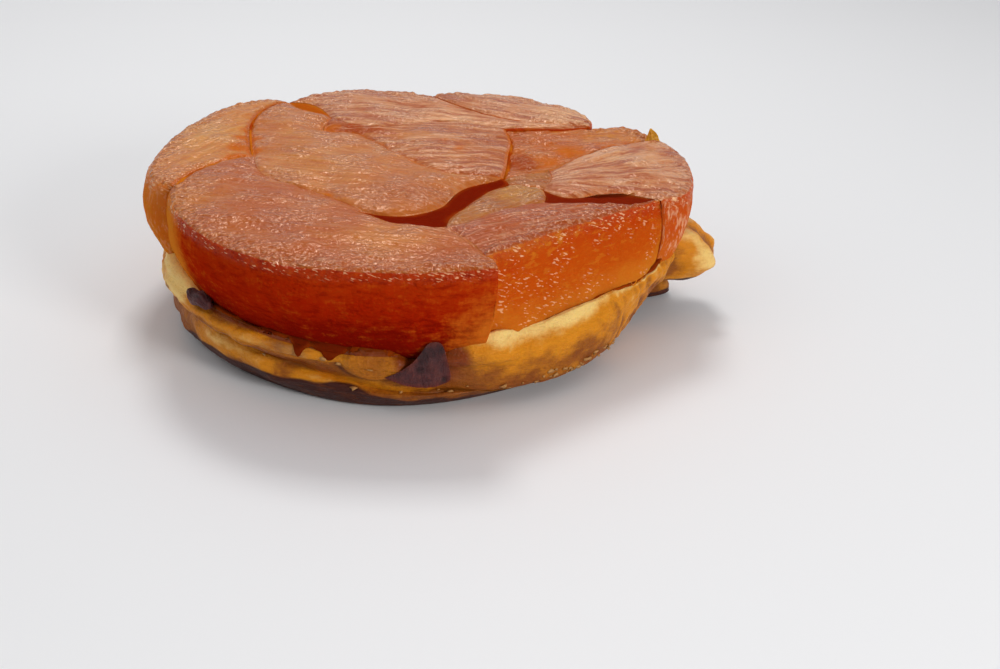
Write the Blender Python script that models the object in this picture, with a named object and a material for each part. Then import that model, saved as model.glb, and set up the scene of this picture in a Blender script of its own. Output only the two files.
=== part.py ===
"""An individual tarte tatin: caramelised apple slices packed over a folded pastry base.

The tables below are in millimetres, seen from above with the tart's centre at the origin, and
the model is built in metres with +Z up. It stands on the flat underside of its pastry.
"""

import math

import bmesh
import bpy
import numpy as np

MM = 0.001

# Pastry base. Each table goes round the tart in steps of 30 degrees, starting at +X.
FOOT_RADIUS = (52.0, 52.5, 52.0, 51.5, 51.5, 51.0, 50.5, 50.0, 50.8, 53.0, 50.6, 49.8)
ROLL_BULGE = (3.0, 2.2, 2.0, 2.0, 1.8, 1.5, 1.2, 2.2, 2.8, 2.2, 4.0, 4.2)
CREASE_DEPTH = (0.2, 0.8, 1.2, 1.0, 1.2, 1.0, 0.6, 1.5, 1.7, 1.2, 0.0, 0.0)
LIP_RADIUS = (62.0, 59.0, 56.0, 54.8, 55.0, 54.6, 53.6, 54.4, 55.4, 55.2, 55.2, 56.4)
LIP_HEIGHT = (20.6, 18.0, 15.5, 14.6, 14.6, 15.0, 15.4, 16.0, 14.8, 13.2, 13.8, 15.8)
FOOT_INSET = 5.0
FOOT_ROUND = 1.2
ROLL_HEIGHT = 4.2
UPPER_ROLL_BULGE = 0.7
UPPER_ROLL_DROP = 3.2
LIP_WIDTH = 1.2
WELL_HEIGHT = 10.8
WELL_START = 0.55
WELL_RINGS = (0.9, 0.78, 0.66, 0.55)
PASTRY_SEGMENTS = 96
PASTRY_CROWDING = 0.7
PASTRY_WAVES = ((5, 0.45, 0.8), (9, 0.30, 2.1), (14, 0.18, 4.0))

# The pinched flap hangs from the lip and the tongue lies under it, each across a few degrees.
# Their shapes are radii and heights at the pastry's outer rings, from the foot upwards.
FLAP_BEARING = 6.0
FLAP_HALF_WIDTH = 12.0
FLAP_RINGS = 5
FLAP_SHAPE = ((57.0, 9.2), (65.5, 8.6), (71.4, 10.4), (73.0, 14.2), (71.0, 18.2), (66.6, 21.6))
FLAP_PLEATS = 3
FLAP_PLEAT_DEPTH = 0.9
TONGUE_BEARING = 12.5
TONGUE_HALF_WIDTH = 6.5
TONGUE_RINGS = 1
TONGUE_SHAPE = ((63.4, 0.5), (65.2, 1.8), (64.0, 4.6), (59.0, 5.8))

# Apple layer. WALL_LEAN is how far the foot of its wall stands outside the rim above it.
WALL_LEAN = (-3.2, -5.0, -6.5, -5.0, -5.5, -4.8, -2.4, -3.6, -7.0, -6.6, 2.2, 3.2)
WALL_BULGE = (1.2, 1.4, 1.4, 1.4, 1.4, 2.2, 3.0, 2.0, 1.2, 1.4, 1.0, 1.4)
LEAN_START = 36.0
LEAN_FULL = 52.0
WALL_ROWS = (0.33, 0.67, 1.0)
SEAM_GAP = 0.32
FOOT_GAP = 1.0
RIM_ROUND = 2.4
SEAM_ROUND = 1.3
CROWN_REACH = 6.0
TIP_WIDTH = 0.5

# Hand-laid seams in plan, each from one meeting point to another. Rims are the outer ones.
SEAMS = {
    "left_front": ((-47.5, -19), (-45.5, -11), (-41, -3.5), (-34.5, 1.5)),
    "left_centre": ((-34.5, 1.5), (-37, 13), (-39, 25), (-38.8, 34), (-36.5, 40.5), (-33, 45.5)),
    "front_centre": ((-34.5, 1.5), (-31, -9), (-25, -15), (-17, -20), (-10, -26), (-6.5, -30)),
    "pool_front": ((-6.5, -30), (-2, -34), (2, -36.5), (6.5, -37.5), (11.5, -37)),
    "pool_centre": ((-6.5, -30), (-2, -31), (2, -30.8), (6, -28.8), (10.2, -24), (14, -13), (22.5, -5.5)),
    "pool_sliver": ((11.5, -37), (12.2, -31), (14.7, -25), (17.4, -18.5), (20.2, -13), (24, -9.5)),
    "pool_end": ((22.5, -5.5), (23.4, -7.4), (24, -9.5)),
    "front_right": ((11.5, -37), (17, -45.5), (20, -51.5)),
    "front_corner": ((20, -51.5), (21.6, -54), (22.3, -57)),
    "sliver_right": ((11.5, -37), (15, -34.5), (18.5, -30.3), (22.5, -26), (27, -22.5), (31.5, -20.2)),
    "sliver_trough": ((31.5, -20.2), (32, -16), (31.5, -11.5)),
    "sliver_chip": ((24, -9.5), (28, -10.2), (31.5, -11.5)),
    "trough_fan": ((31.5, -11.5), (35, -14.6), (38.5, -15.2), (43, -12.8), (49, -11.4), (57, -14.5)),
    "trough_right": ((31.5, -20.2), (36, -20.6), (43, -19.8), (50, -19), (57, -14.5)),
    "centre_mid": ((-20.5, 33.5), (-21.5, 27), (-20, 22), (-12, 20.6), (-1, 7.2), (8, -2.4), (22.5, -5.5)),
    "wedge_centre": ((-33, 45.5), (-30, 41.5), (-25.5, 37.5), (-20.5, 33.5)),
    "wedge_back": ((-33, 45.5), (-28, 45.4), (-24, 41), (-20.5, 33.5)),
    "mid_back": ((-20.5, 33.5), (-15, 29), (-8, 27), (-2, 31.5), (6, 34), (14, 33.4), (22.5, 31)),
    "mid_sunken": ((22.5, 31), (24, 22), (23.5, 12), (23.2, 3), (22.5, -5.5)),
    "chip_sunken": ((22.5, -5.5), (26, -3.6), (29, -1), (33, 2)),
    "chip_fan": ((33, 2), (33.4, -4.5), (31.5, -11.5)),
    "fan_sunken": ((33, 2), (36, 6), (39.5, 10.5), (46, 17.5), (52, 22.5), (59.5, 27)),
    "back_far": ((3, 56), (7.5, 51), (12.5, 46), (19, 40.3), (27, 36.6), (36, 34.8), (43.5, 34.5)),
    "back_sunken": ((22.5, 31), (29, 31.4), (36, 31.6), (43.5, 34.5)),
    "rim_left": ((-47.5, -19), (-52, -16.8), (-54.8, -9), (-55.6, 2), (-54.9, 14), (-52.6, 26), (-48.4, 36),
                 (-43, 43.4), (-37.5, 47), (-33, 45.5)),
    "rim_front": ((-47.5, -19), (-47.2, -24), (-44.2, -33), (-39.4, -41.6), (-33.2, -49), (-26, -54.8),
                  (-16, -59.4), (-3, -60.8), (11, -60), (22.3, -57)),
    "rim_right": ((20, -51.5), (24.5, -47.2), (31, -40), (39, -32), (47.5, -24), (53, -19), (57, -14.5)),
    "rim_fan": ((57, -14.5), (62.6, -10.5), (65, -2), (65.4, 8), (63.8, 18), (59.5, 27)),
    "rim_sunken": ((59.5, 27), (56, 33), (50.5, 37.4), (43.5, 34.5)),
    "rim_far": ((43.5, 34.5), (43.8, 40.5), (40.4, 46.6), (33.4, 53), (25, 58), (14.5, 60.4), (7, 59), (3, 56)),
    "rim_back": ((3, 56), (-5, 59), (-16, 59), (-26, 54.6), (-33, 45.5)),
}

# Each slice runs between two tips, with a chain of seams along either side ("-" takes a seam
# backwards). Its upper face has a height, a slope along X and Y, and a crown.
SLICES = {
    "apple_front_left": dict(
        sides=("rim_front", "left_front front_centre pool_front front_right front_corner"),
        height=34.1, slope=(0.01, 0.03), crown=0.8, cells=(25, 7),
        held=dict(bearing=276.0, centre=(-10.0, 0.0))),
    "apple_left": dict(
        sides=("rim_left", "left_front left_centre"),
        height=34.4, slope=(0.01, 0.01), crown=0.8, cells=(18, 6)),
    "apple_centre": dict(
        sides=("-left_centre front_centre pool_centre", "wedge_centre centre_mid"),
        height=34.2, slope=(0.0, 0.01), crown=1.2, cells=(22, 6)),
    "apple_middle": dict(
        sides=("centre_mid", "mid_back mid_sunken"),
        height=34.3, slope=(-0.01, 0.0), crown=0.9, cells=(16, 6)),
    "apple_back": dict(
        sides=("-rim_back back_far", "wedge_back mid_back back_sunken"),
        height=34.7, slope=(0.0, 0.0), crown=0.8, cells=(20, 5)),
    "apple_far_right": dict(
        sides=("-rim_far", "back_far"),
        height=35.4, slope=(0.0, 0.0), crown=0.8, cells=(15, 5)),
    "apple_sunken": dict(
        sides=("back_sunken -rim_sunken", "mid_sunken chip_sunken fan_sunken"),
        height=32.8, slope=(0.02, 0.02), crown=0.6, cells=(15, 5)),
    "apple_fan": dict(
        sides=("rim_fan", "-trough_fan -chip_fan fan_sunken"),
        height=34.2, slope=(0.0, 0.02), crown=0.8, cells=(14, 6)),
    "apple_front_right": dict(
        sides=("front_right rim_right", "sliver_right trough_right"),
        height=34.4, slope=(0.0, 0.0), crown=0.6, cells=(16, 5)),
    "apple_sliver": dict(
        sides=("sliver_right sliver_trough", "pool_sliver sliver_chip"),
        height=33.4, slope=(0.0, 0.0), crown=0.6, cells=(9, 4)),
    "apple_chip": dict(
        sides=("chip_sunken chip_fan", "pool_end sliver_chip"),
        height=33.9, slope=(0.0, 0.0), crown=0.4, cells=(7, 4)),
    "caramel_front": dict(
        sides=("pool_front pool_sliver", "pool_centre pool_end"),
        height=32.9, slope=(0.0, 0.0), crown=0.0, cells=(14, 3)),
    "caramel_right": dict(
        sides=("trough_right", "sliver_trough trough_fan"),
        height=32.6, slope=(0.0, 0.0), crown=0.0, cells=(9, 3)),
    "caramel_back": dict(
        sides=("wedge_centre", "wedge_back"),
        height=32.6, slope=(0.0, 0.0), crown=0.0, cells=(6, 3)),
}

# Scraps of cooked peel, outlined by bearing in degrees and height.
PEEL_FRONT = ((271.0, 9.6), (274.6, 11.6), (277.6, 14.8), (279.4, 17.6), (281.8, 17.4), (283.2, 13.2),
              (283.8, 8.8), (280.0, 7.4), (275.6, 7.8))
PEEL_FRONT_CENTRE = (279.4, 11.6)
PEEL_RADIUS = 57.3
PEEL_LEAN = 0.12
PEEL_THICKNESS = 1.3
PEEL_SEGMENTS = 28
PEEL_LEFT_CENTRE = (-40.2, -39.8, 17.2)
PEEL_LEFT_RADII = (3.0, 1.3, 1.7)
PEEL_LEFT_TURN = -44.0

APPLE_COLOUR = (0.42, 0.10, 0.025, 1.0)
CARAMEL_COLOUR = (0.20, 0.015, 0.003, 1.0)
PASTRY_COLOUR = (0.52, 0.25, 0.07, 1.0)
PEEL_COLOUR = (0.07, 0.018, 0.014, 1.0)


def clear_scene():
    for old in list(bpy.data.objects):
        bpy.data.objects.remove(old, do_unlink=True)


def new_collection(name):
    group = bpy.data.collections.new(name)
    bpy.context.scene.collection.children.link(group)
    return group


def finish(name, colour, roughness):
    material = bpy.data.materials.new(name)
    material.use_nodes = True
    shader = material.node_tree.nodes["Principled BSDF"]
    shader.inputs["Base Color"].default_value = colour
    shader.inputs["Roughness"].default_value = roughness
    return material


def around(table, bearing):
    """Smooth closed curve through a table whose values are evenly spaced round the tart."""
    values = np.asarray(table)
    place = np.asarray(bearing) / math.tau * len(values)
    index = np.floor(place).astype(int)
    part = place - index
    before, here, after, beyond = (values[(index + step) % len(values)] for step in (-1, 0, 1, 2))
    slope_in, slope_out = (after - before) / 2, (beyond - here) / 2
    cubic = 2 * (here - after) + slope_in + slope_out
    square = 3 * (after - here) - 2 * slope_in - slope_out
    return ((cubic * part + square) * part + slope_in) * part + here


def spline(points, steps=12):
    """Catmull-Rom curve through open points, as a dense polyline."""
    p = np.asarray(points, float)
    p = np.vstack([2 * p[0] - p[1], p, 2 * p[-1] - p[-2]])
    part = np.linspace(0, 1, steps, endpoint=False)[:, None]
    runs = []
    for a, b, c, d in zip(p[:-3], p[1:-2], p[2:-1], p[3:]):
        runs.append(b + part * ((c - a) / 2 + part * ((2 * a - 5 * b + 4 * c - d) / 2
                                                      + part * (3 * b - a - 3 * c + d) / 2)))
    return np.vstack(runs + [p[-2:-1]])


def seam_line(name):
    line = spline(SEAMS[name.lstrip("-")])
    return line[::-1] if name.startswith("-") else line


def chain(names):
    """Several seams end to end as one polyline."""
    lines = [seam_line(name) for name in names.split()]
    return np.vstack([lines[0]] + [line[1:] for line in lines[1:]])


def reach_along(line):
    """Share of a polyline's length at each of its points."""
    reach = np.concatenate([[0], np.cumsum(np.hypot(*np.diff(line, axis=0).T))])
    return reach / reach[-1]


def along(line, fractions):
    """Points at fractions of a polyline's length."""
    reach = reach_along(line)
    return np.stack([np.interp(fractions, reach, line[:, k]) for k in (0, 1)], -1)


def side_line(names, fractions):
    """Points down a slice's side, with one of them on each meeting point of its seams."""
    line, counts = chain(names), [len(seam_line(name)) - 1 for name in names.split()]
    fractions = fractions.copy()
    for joint in reach_along(line)[np.cumsum(counts)[:-1]]:
        fractions[1 + np.abs(fractions[1:-1] - joint).argmin()] = joint
    return along(line, fractions)


def crowded(count, crowding):
    """Fractions from 0 to 1 that crowd towards both ends."""
    even = np.linspace(0, 1, count + 1)
    return (1 - crowding) * even + crowding * (0.5 - 0.5 * np.cos(math.pi * even))


def distance_to(points, line):
    """Distance in plan from each point to the nearest place on a polyline."""
    start, step = line[:-1], np.diff(line, axis=0)
    offset = points[:, None] - start[None]
    share = np.clip((offset * step).sum(-1) / (step ** 2).sum(-1), 0, 1)
    return np.linalg.norm(offset - share[..., None] * step, axis=-1).min(1)


def shoulder(distance, radius):
    """How far a quarter-round edge has dropped at a distance in from it."""
    near = np.clip(1 - distance / radius, 0, 1)
    return radius * (1 - np.sqrt(1 - near ** 2))


def pastry_height(x, y):
    """Upper face of the pastry: a level lip round a shallow well."""
    bearing = np.arctan2(y, x)
    lip = around(LIP_RADIUS, bearing)
    rise = around(LIP_HEIGHT, bearing) - WELL_HEIGHT
    climb = (np.hypot(x, y) / lip - WELL_START) / (1 - LIP_WIDTH / lip - WELL_START)
    return WELL_HEIGHT + rise * np.clip(climb, 0, 1) ** 2


def lean(x, y, depth, held):
    """Moves points of the apple layer out or in as they go down, most at its outer wall.

    A slice whose end stands proud of the next one is held: it keeps the lean of a given bearing
    up to its end, and leans towards a centre of its own.
    """
    radius, bearing = np.hypot(x, y), np.arctan2(y, x) % math.tau
    centre_x, centre_y = held["centre"] if held else (0.0, 0.0)
    if held:
        bearing = np.minimum(bearing, math.radians(held["bearing"]))
    share = np.clip((radius - LEAN_START) / (LEAN_FULL - LEAN_START), 0, 1)
    share = share * share * (3 - 2 * share)
    shift = around(WALL_LEAN, bearing) * depth ** 2 + around(WALL_BULGE, bearing) * 4 * depth * (1 - depth)
    scale = share * shift / np.hypot(x - centre_x, y - centre_y)
    return x + (x - centre_x) * scale, y + (y - centre_y) * scale


def solid(name, rings, faces, group, material):
    """Object from vertices in millimetres and faces that already point outwards."""
    mesh = bpy.data.meshes.new(name)
    mesh.from_pydata((np.asarray(rings) * MM).tolist(), [], faces)
    mesh.materials.append(material)
    mesh.shade_smooth()
    mesh.set_sharp_from_angle(angle=math.radians(40))
    body = bpy.data.objects.new(name, mesh)
    group.objects.link(body)
    return body


def slice_plan(sides, cells):
    """Grid of points between a slice's two sides, each set in by the gap to its neighbours.

    Its tips are cut off where the sides would meet across the gap.
    """
    even = np.linspace(0, 1, 400)
    width = np.linalg.norm(along(chain(sides[1]), even) - along(chain(sides[0]), even), axis=1)
    first, last = even[width > 2 * SEAM_GAP + TIP_WIDTH][[0, -1]]
    fractions = first + (last - first) * crowded(cells[0], 0.4)
    one, two = (side_line(side, fractions) for side in sides)
    inward = two - one
    for line, direction in ((one, 1), (two, -1)):
        way = np.gradient(line, axis=0)
        normal = np.stack([-way[:, 1], way[:, 0]], -1) / np.linalg.norm(way, axis=1)[:, None]
        facing = np.sign((normal * inward).sum(-1).sum()) * direction
        line += SEAM_GAP * facing * normal
    grid = one[:, None] + (two - one)[:, None] * crowded(cells[1], 0.6)[None, :, None]
    down, across = grid[-1, 0] - grid[0, 0], (grid[:, -1] - grid[:, 0]).mean(0)
    return grid if down[0] * across[1] > down[1] * across[0] else grid[:, ::-1]


def slice_top(plan, sides, height, slope, crown):
    """Height of the upper face: sloping, crowned, and rounded off at rims and seams."""
    names = " ".join(sides).replace("-", "").split()
    rims = [distance_to(plan, seam_line(name)) for name in names if name.startswith("rim")]
    seams = [distance_to(plan, seam_line(name)) for name in names if not name.startswith("rim")]
    drop = np.max([shoulder(d, RIM_ROUND) for d in rims] + [shoulder(d, SEAM_ROUND) for d in seams], 0)
    nearest = np.min(rims + seams, 0)
    tilt = (plan - plan.mean(0)) @ np.asarray(slope)
    return height + tilt + crown * (1 - np.exp(-nearest / CROWN_REACH)) - drop


def add_slice(name, group, material, sides, height, slope, crown, cells, held=None):
    grid = slice_plan(sides, cells)
    rows, columns = grid.shape[:2]
    plan = grid.reshape(-1, 2)
    top = slice_top(plan, sides, height, slope, crown)
    foot = pastry_height(*lean(*plan.T, np.ones(len(plan)), held)) + FOOT_GAP
    ids = np.arange(rows * columns).reshape(rows, columns)
    edge = np.concatenate([ids[:-1, 0], ids[-1, :-1], ids[:0:-1, -1], ids[0, :0:-1]])
    depth = (top.max() - top) / (top.max() - foot)
    layers = [np.stack([*lean(*plan.T, depth, held), top], -1)]
    for row in WALL_ROWS:
        level = top[edge] + (foot[edge] - top[edge]) * row
        depth = (top.max() - level) / (top.max() - foot[edge])
        layers.append(np.stack([*lean(*plan[edge].T, depth, held), level], -1))
    faces = np.stack([ids[:-1, :-1], ids[1:, :-1], ids[1:, 1:], ids[:-1, 1:]], -1).reshape(-1, 4).tolist()
    upper = edge
    for row in range(len(WALL_ROWS)):
        lower = ids.size + row * len(edge) + np.arange(len(edge))
        faces += np.stack([upper, lower, np.roll(lower, -1), np.roll(upper, -1)], -1).tolist()
        upper = lower
    faces.append(upper[::-1].tolist())
    return solid(name, np.vstack(layers), faces, group, material)


def hump(bearing, centre, half_width):
    """Smooth hump, flat near its middle, from 0 to 1 across a stretch of the tart's edge, in degrees."""
    aside = (np.degrees(bearing) - centre + 180) % 360 - 180
    return np.clip(1 - (aside / half_width) ** 4, 0, 1) ** 2


def draw_out(profile, share, first_ring, shape, pleat=0.0):
    """Draws some rings of a profile out to a shape, wholly where the share is 1."""
    for ring, (radius, height) in enumerate(shape, first_ring):
        old_radius, old_height = profile[ring]
        profile[ring] = (old_radius + share * (radius + pleat - old_radius),
                         old_height + share * (height - old_height))


def pastry_rings():
    """Outline rings of the pastry from its underside, round the rolled edge, into the well."""
    even = np.arange(PASTRY_SEGMENTS) / PASTRY_SEGMENTS * math.tau
    bearing = even - PASTRY_CROWDING * np.sin(even - math.radians(FLAP_BEARING))
    waves = sum(size * np.sin(count * bearing + phase) for count, size, phase in PASTRY_WAVES)
    foot, lip = around(FOOT_RADIUS, bearing), around(LIP_RADIUS, bearing)
    lip_height = around(LIP_HEIGHT, bearing)
    roll = foot + around(ROLL_BULGE, bearing) + waves / 2
    upper = lip + UPPER_ROLL_BULGE + waves
    upper_height = lip_height - UPPER_ROLL_DROP
    crease = (roll + upper) / 2 - around(CREASE_DEPTH, bearing)
    crease_height = (ROLL_HEIGHT + upper_height) / 2
    profile = [
        (foot - FOOT_INSET, 0 * foot),
        (foot - FOOT_ROUND, 0.25 + 0 * foot),
        (foot, FOOT_ROUND + 0 * foot),
        (roll, ROLL_HEIGHT + 0 * foot),
        ((roll + crease) / 2 + 0.3, (ROLL_HEIGHT + crease_height) / 2),
        (crease, crease_height),
        ((upper + crease) / 2 + 0.3, (upper_height + crease_height) / 2),
        (upper, upper_height),
        (upper, upper_height + UPPER_ROLL_DROP / 4),
        (upper - waves / 4, upper_height + UPPER_ROLL_DROP / 2),
        (lip + waves / 2, lip_height - 0.8),
        (lip - LIP_WIDTH / 2, lip_height),
        (lip - LIP_WIDTH, lip_height),
    ]
    for share in WELL_RINGS:
        radius = lip * share
        profile.append((radius, pastry_height(radius * np.cos(bearing), radius * np.sin(bearing))))
    flap = hump(bearing, FLAP_BEARING, FLAP_HALF_WIDTH)
    across = (bearing - math.radians(FLAP_BEARING)) / math.radians(FLAP_HALF_WIDTH)
    pleat = FLAP_PLEAT_DEPTH * np.cos(FLAP_PLEATS * math.pi * across)
    draw_out(profile, flap, FLAP_RINGS, FLAP_SHAPE, pleat)
    tongue = hump(bearing, TONGUE_BEARING, TONGUE_HALF_WIDTH)
    draw_out(profile, tongue, TONGUE_RINGS, TONGUE_SHAPE)
    return [np.stack([r * np.cos(bearing), r * np.sin(bearing), h], -1) for r, h in profile]


def add_pastry(group, material):
    rings = pastry_rings()
    count = PASTRY_SEGMENTS
    centre = count * len(rings)
    step = np.arange(count)
    faces = [step[::-1].tolist()]
    for ring in range(len(rings) - 1):
        low, high = ring * count + step, (ring + 1) * count + step
        faces += np.stack([low, np.roll(low, -1), np.roll(high, -1), high], -1).tolist()
    last = (len(rings) - 1) * count + step
    faces += [[int(a), int(b), centre] for a, b in zip(last, np.roll(last, -1))]
    vertices = np.vstack(rings + [np.array([[0, 0, WELL_HEIGHT]])])
    return solid("pastry", vertices, faces, group, material)


def ellipsoid(name, centre, radii, turn, segments, rings, group):
    """Round body scaled to three radii and turned about Z."""
    shape = bmesh.new()
    bmesh.ops.create_uvsphere(shape, u_segments=segments, v_segments=rings, radius=1)
    cos, sin = math.cos(math.radians(turn)), math.sin(math.radians(turn))
    for vertex in shape.verts:
        x, y, z = (size * place for size, place in zip(radii, vertex.co))
        turned = (x * cos - y * sin, x * sin + y * cos, z)
        vertex.co = [(middle + offset) * MM for middle, offset in zip(centre, turned)]
    mesh = bpy.data.meshes.new(name)
    shape.to_mesh(mesh)
    shape.free()
    mesh.shade_smooth()
    body = bpy.data.objects.new(name, mesh)
    group.objects.link(body)
    return body


def add_peel_front(group, material):
    """Curved flake that lies against the rolled edge, thickest in its middle."""
    closed = spline(PEEL_FRONT + PEEL_FRONT[:1])
    outline = along(closed, np.linspace(0, 1, PEEL_SEGMENTS, endpoint=False))
    middle = np.array(PEEL_FRONT_CENTRE)
    layers = []
    for share, side in ((0.0, -1), (0.75, -1), (1.0, 0), (0.75, 1), (0.0, 1)):
        points = middle + (outline - middle) * share if share else middle[None]
        radius = PEEL_RADIUS + PEEL_LEAN * (points[:, 1] - middle[1]) + side * PEEL_THICKNESS / 2
        angle = np.radians(points[:, 0])
        layers.append(np.stack([radius * np.cos(angle), radius * np.sin(angle), points[:, 1]], -1))
    step = np.arange(PEEL_SEGMENTS)
    first = [1 + ring * PEEL_SEGMENTS + step for ring in range(3)]
    last = 1 + 3 * PEEL_SEGMENTS
    faces = [[0, int(a), int(b)] for a, b in zip(first[0], np.roll(first[0], -1))]
    for low, high in zip(first, first[1:]):
        faces += np.stack([low, high, np.roll(high, -1), np.roll(low, -1)], -1).tolist()
    faces += [[last, int(b), int(a)] for a, b in zip(first[2], np.roll(first[2], -1))]
    return solid("peel_front", np.vstack(layers), faces, group, material)


def add_peel_left(group, material):
    scrap = ellipsoid("peel_left", PEEL_LEFT_CENTRE, PEEL_LEFT_RADII, PEEL_LEFT_TURN, 12, 7, group)
    scrap.data.materials.append(material)
    return scrap


def build():
    clear_scene()
    tart = new_collection("tarte_tatin")
    apple = finish("apple", APPLE_COLOUR, 0.25)
    caramel = finish("caramel", CARAMEL_COLOUR, 0.1)
    pastry = finish("pastry", PASTRY_COLOUR, 0.55)
    peel = finish("peel", PEEL_COLOUR, 0.4)
    add_pastry(tart, pastry)
    for name, shape in SLICES.items():
        add_slice(name, tart, caramel if name.startswith("caramel") else apple, **shape)
    add_peel_front(tart, peel)
    add_peel_left(tart, peel)


build()
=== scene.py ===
"""An individual tarte tatin: slices of caramelised apple packed over a folded pastry base.

Sizes are in millimetres with the tart's middle at the origin and +Z up, as in the solids that
each piece replaces, and become metres where a mesh is made. Bearings are in degrees from +X.
"""
import math

import bpy
import numpy as np
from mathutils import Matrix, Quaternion


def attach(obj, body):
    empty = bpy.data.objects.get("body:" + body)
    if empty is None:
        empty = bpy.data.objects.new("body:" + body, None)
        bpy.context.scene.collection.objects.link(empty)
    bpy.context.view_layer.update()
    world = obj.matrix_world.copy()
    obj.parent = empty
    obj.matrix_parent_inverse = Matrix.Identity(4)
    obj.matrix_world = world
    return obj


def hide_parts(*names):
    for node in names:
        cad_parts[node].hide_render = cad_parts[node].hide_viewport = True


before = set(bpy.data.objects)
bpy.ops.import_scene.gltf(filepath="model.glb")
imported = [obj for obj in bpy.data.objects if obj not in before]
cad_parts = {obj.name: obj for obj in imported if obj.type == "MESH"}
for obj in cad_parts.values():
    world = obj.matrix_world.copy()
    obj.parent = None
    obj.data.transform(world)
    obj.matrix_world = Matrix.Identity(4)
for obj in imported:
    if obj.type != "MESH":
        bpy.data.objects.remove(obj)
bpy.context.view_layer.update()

MM = 0.001

# ----------------------------------------
# Pastry base. One sheet of baked dough, tucked under at its foot and rolled at its edge, with a
# lip round the apples and a pinched flap at one side. It is a set of outline rings that run
# round the tart, joined by a smooth curve from the foot up to the lip and into the well.
# ----------------------------------------

# Each table goes round the tart in steps of 30 degrees, starting at +X.
FOOT_RADIUS = (52.0, 52.5, 52.0, 51.5, 51.5, 51.0, 50.5, 50.0, 50.8, 53.0, 50.6, 49.8)
ROLL_BULGE = (3.0, 2.2, 2.0, 2.0, 1.8, 1.5, 1.2, 2.2, 2.8, 2.2, 4.0, 4.2)
CREASE_DEPTH = (0.6, 1.2, 1.6, 1.4, 1.6, 1.4, 1.2, 2.2, 2.4, 1.8, 0.2, 0.0)
CREASE_RISE = (0.5, 0.5, 0.45, 0.5, 0.55, 0.55, 0.6, 0.85, 0.75, 0.15, 0.1, 0.3)
LIP_RADIUS = (62.0, 59.0, 56.0, 54.8, 55.0, 54.6, 53.6, 54.4, 55.4, 55.2, 55.2, 56.4)
LIP_HEIGHT = (20.6, 18.0, 15.5, 14.6, 14.6, 15.0, 15.4, 16.0, 14.8, 13.2, 13.8, 15.8)
FOOT_INSET = 5.0
FOOT_ROUND = 1.2
FOOT_CORNER = 0.25
CREASE_SWELL = 0.4
LIP_DROP = 0.8
ROLL_HEIGHT = 4.2
UPPER_ROLL_BULGE = 0.7
UPPER_ROLL_DROP = 3.2
LIP_WIDTH = 1.2
WELL_HEIGHT = 10.8
WELL_START = 0.55
WELL_RINGS = (0.9, 0.7, 0.5)
PASTRY_WAVES = ((5, 0.45, 0.8), (9, 0.30, 2.1), (14, 0.18, 4.0))
PASTRY_SEGMENTS = 960
PASTRY_CROWDING = 0.45

# Rows of its skin from foot to well, as first and last place in rings and how many.
PASTRY_ROWS = ((0, 0.5, 2), (1, 2.9, 8), (3, 11.9, 56), (12, 12 + len(WELL_RINGS), 10))

# The pinched flap and the tongue under it: radii and heights at the outer rings, from the foot.
FLAP_BEARING = 6.0
FLAP_HALF_WIDTH = 12.0
FLAP_RINGS = 5
FLAP_SHAPE = ((57.0, 9.2), (65.5, 8.6), (71.4, 10.4), (73.0, 14.2), (71.0, 18.2), (66.6, 21.6))
FLAP_PLEATS = 3
FLAP_PLEAT_DEPTH = 1.0
TONGUE_BEARING = 12.5
TONGUE_HALF_WIDTH = 6.5
TONGUE_RINGS = 1
TONGUE_SHAPE = ((63.4, 0.5), (65.2, 1.8), (64.0, 4.6), (59.0, 5.8))


NEAR = (-1, 0, 1, 2)


def through(before, here, after, beyond, part):
    """Part of the way from one value to the next, along a cubic that meets both.

    Its slope at each is half the difference of that value's neighbours (Catmull-Rom).
    """
    bend = (2 * before - 5 * here + 4 * after - beyond) / 2
    twist = (3 * here - before - 3 * after + beyond) / 2
    return here + part * ((after - before) / 2 + part * (bend + part * twist))


def around(table, bearing):
    """Smooth closed curve through a table whose values are evenly spaced round the tart."""
    values = np.asarray(table)
    place = np.asarray(bearing) / math.tau * len(values)
    index = np.floor(place).astype(int)
    return through(*(values[(index + step) % len(values)] for step in NEAR), place - index)


def smooth(value, low, high):
    """Rises from 0 at low to 1 at high along 3s^2 - 2s^3."""
    share = np.clip((value - low) / (high - low), 0, 1)
    return share * share * (3 - 2 * share)


def off_bearing(bearing, centre):
    """Degrees from a centre bearing, from -180 to 180."""
    return (np.degrees(bearing) - centre + 180) % 360 - 180


def hump(bearing, centre, half_width):
    """1 at a centre bearing, 0 past the half width, along (1 - s^4)^2."""
    return np.clip(1 - (off_bearing(bearing, centre) / half_width) ** 4, 0, 1) ** 2


def bell(value, centre, width):
    """Bell curve exp(-s^2), where s is the distance from the centre in widths."""
    return np.exp(-((value - centre) / width) ** 2)


def turns(count):
    """Evenly spaced bearings all the way round, in radians."""
    return np.linspace(0, math.tau, count, endpoint=False)


def polar(radius, bearing, height):
    """Points at radii, bearings and heights."""
    across, aside = radius * np.cos(bearing), radius * np.sin(bearing)
    return np.stack(np.broadcast_arrays(across, aside, height), -1)


def spot(bearing, height, centre, level, wide, high):
    """Soft spot on the tart's side, in degrees and mm: a bell curve both ways."""
    return bell(off_bearing(bearing, centre), 0, wide) * bell(height, level, high)


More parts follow.
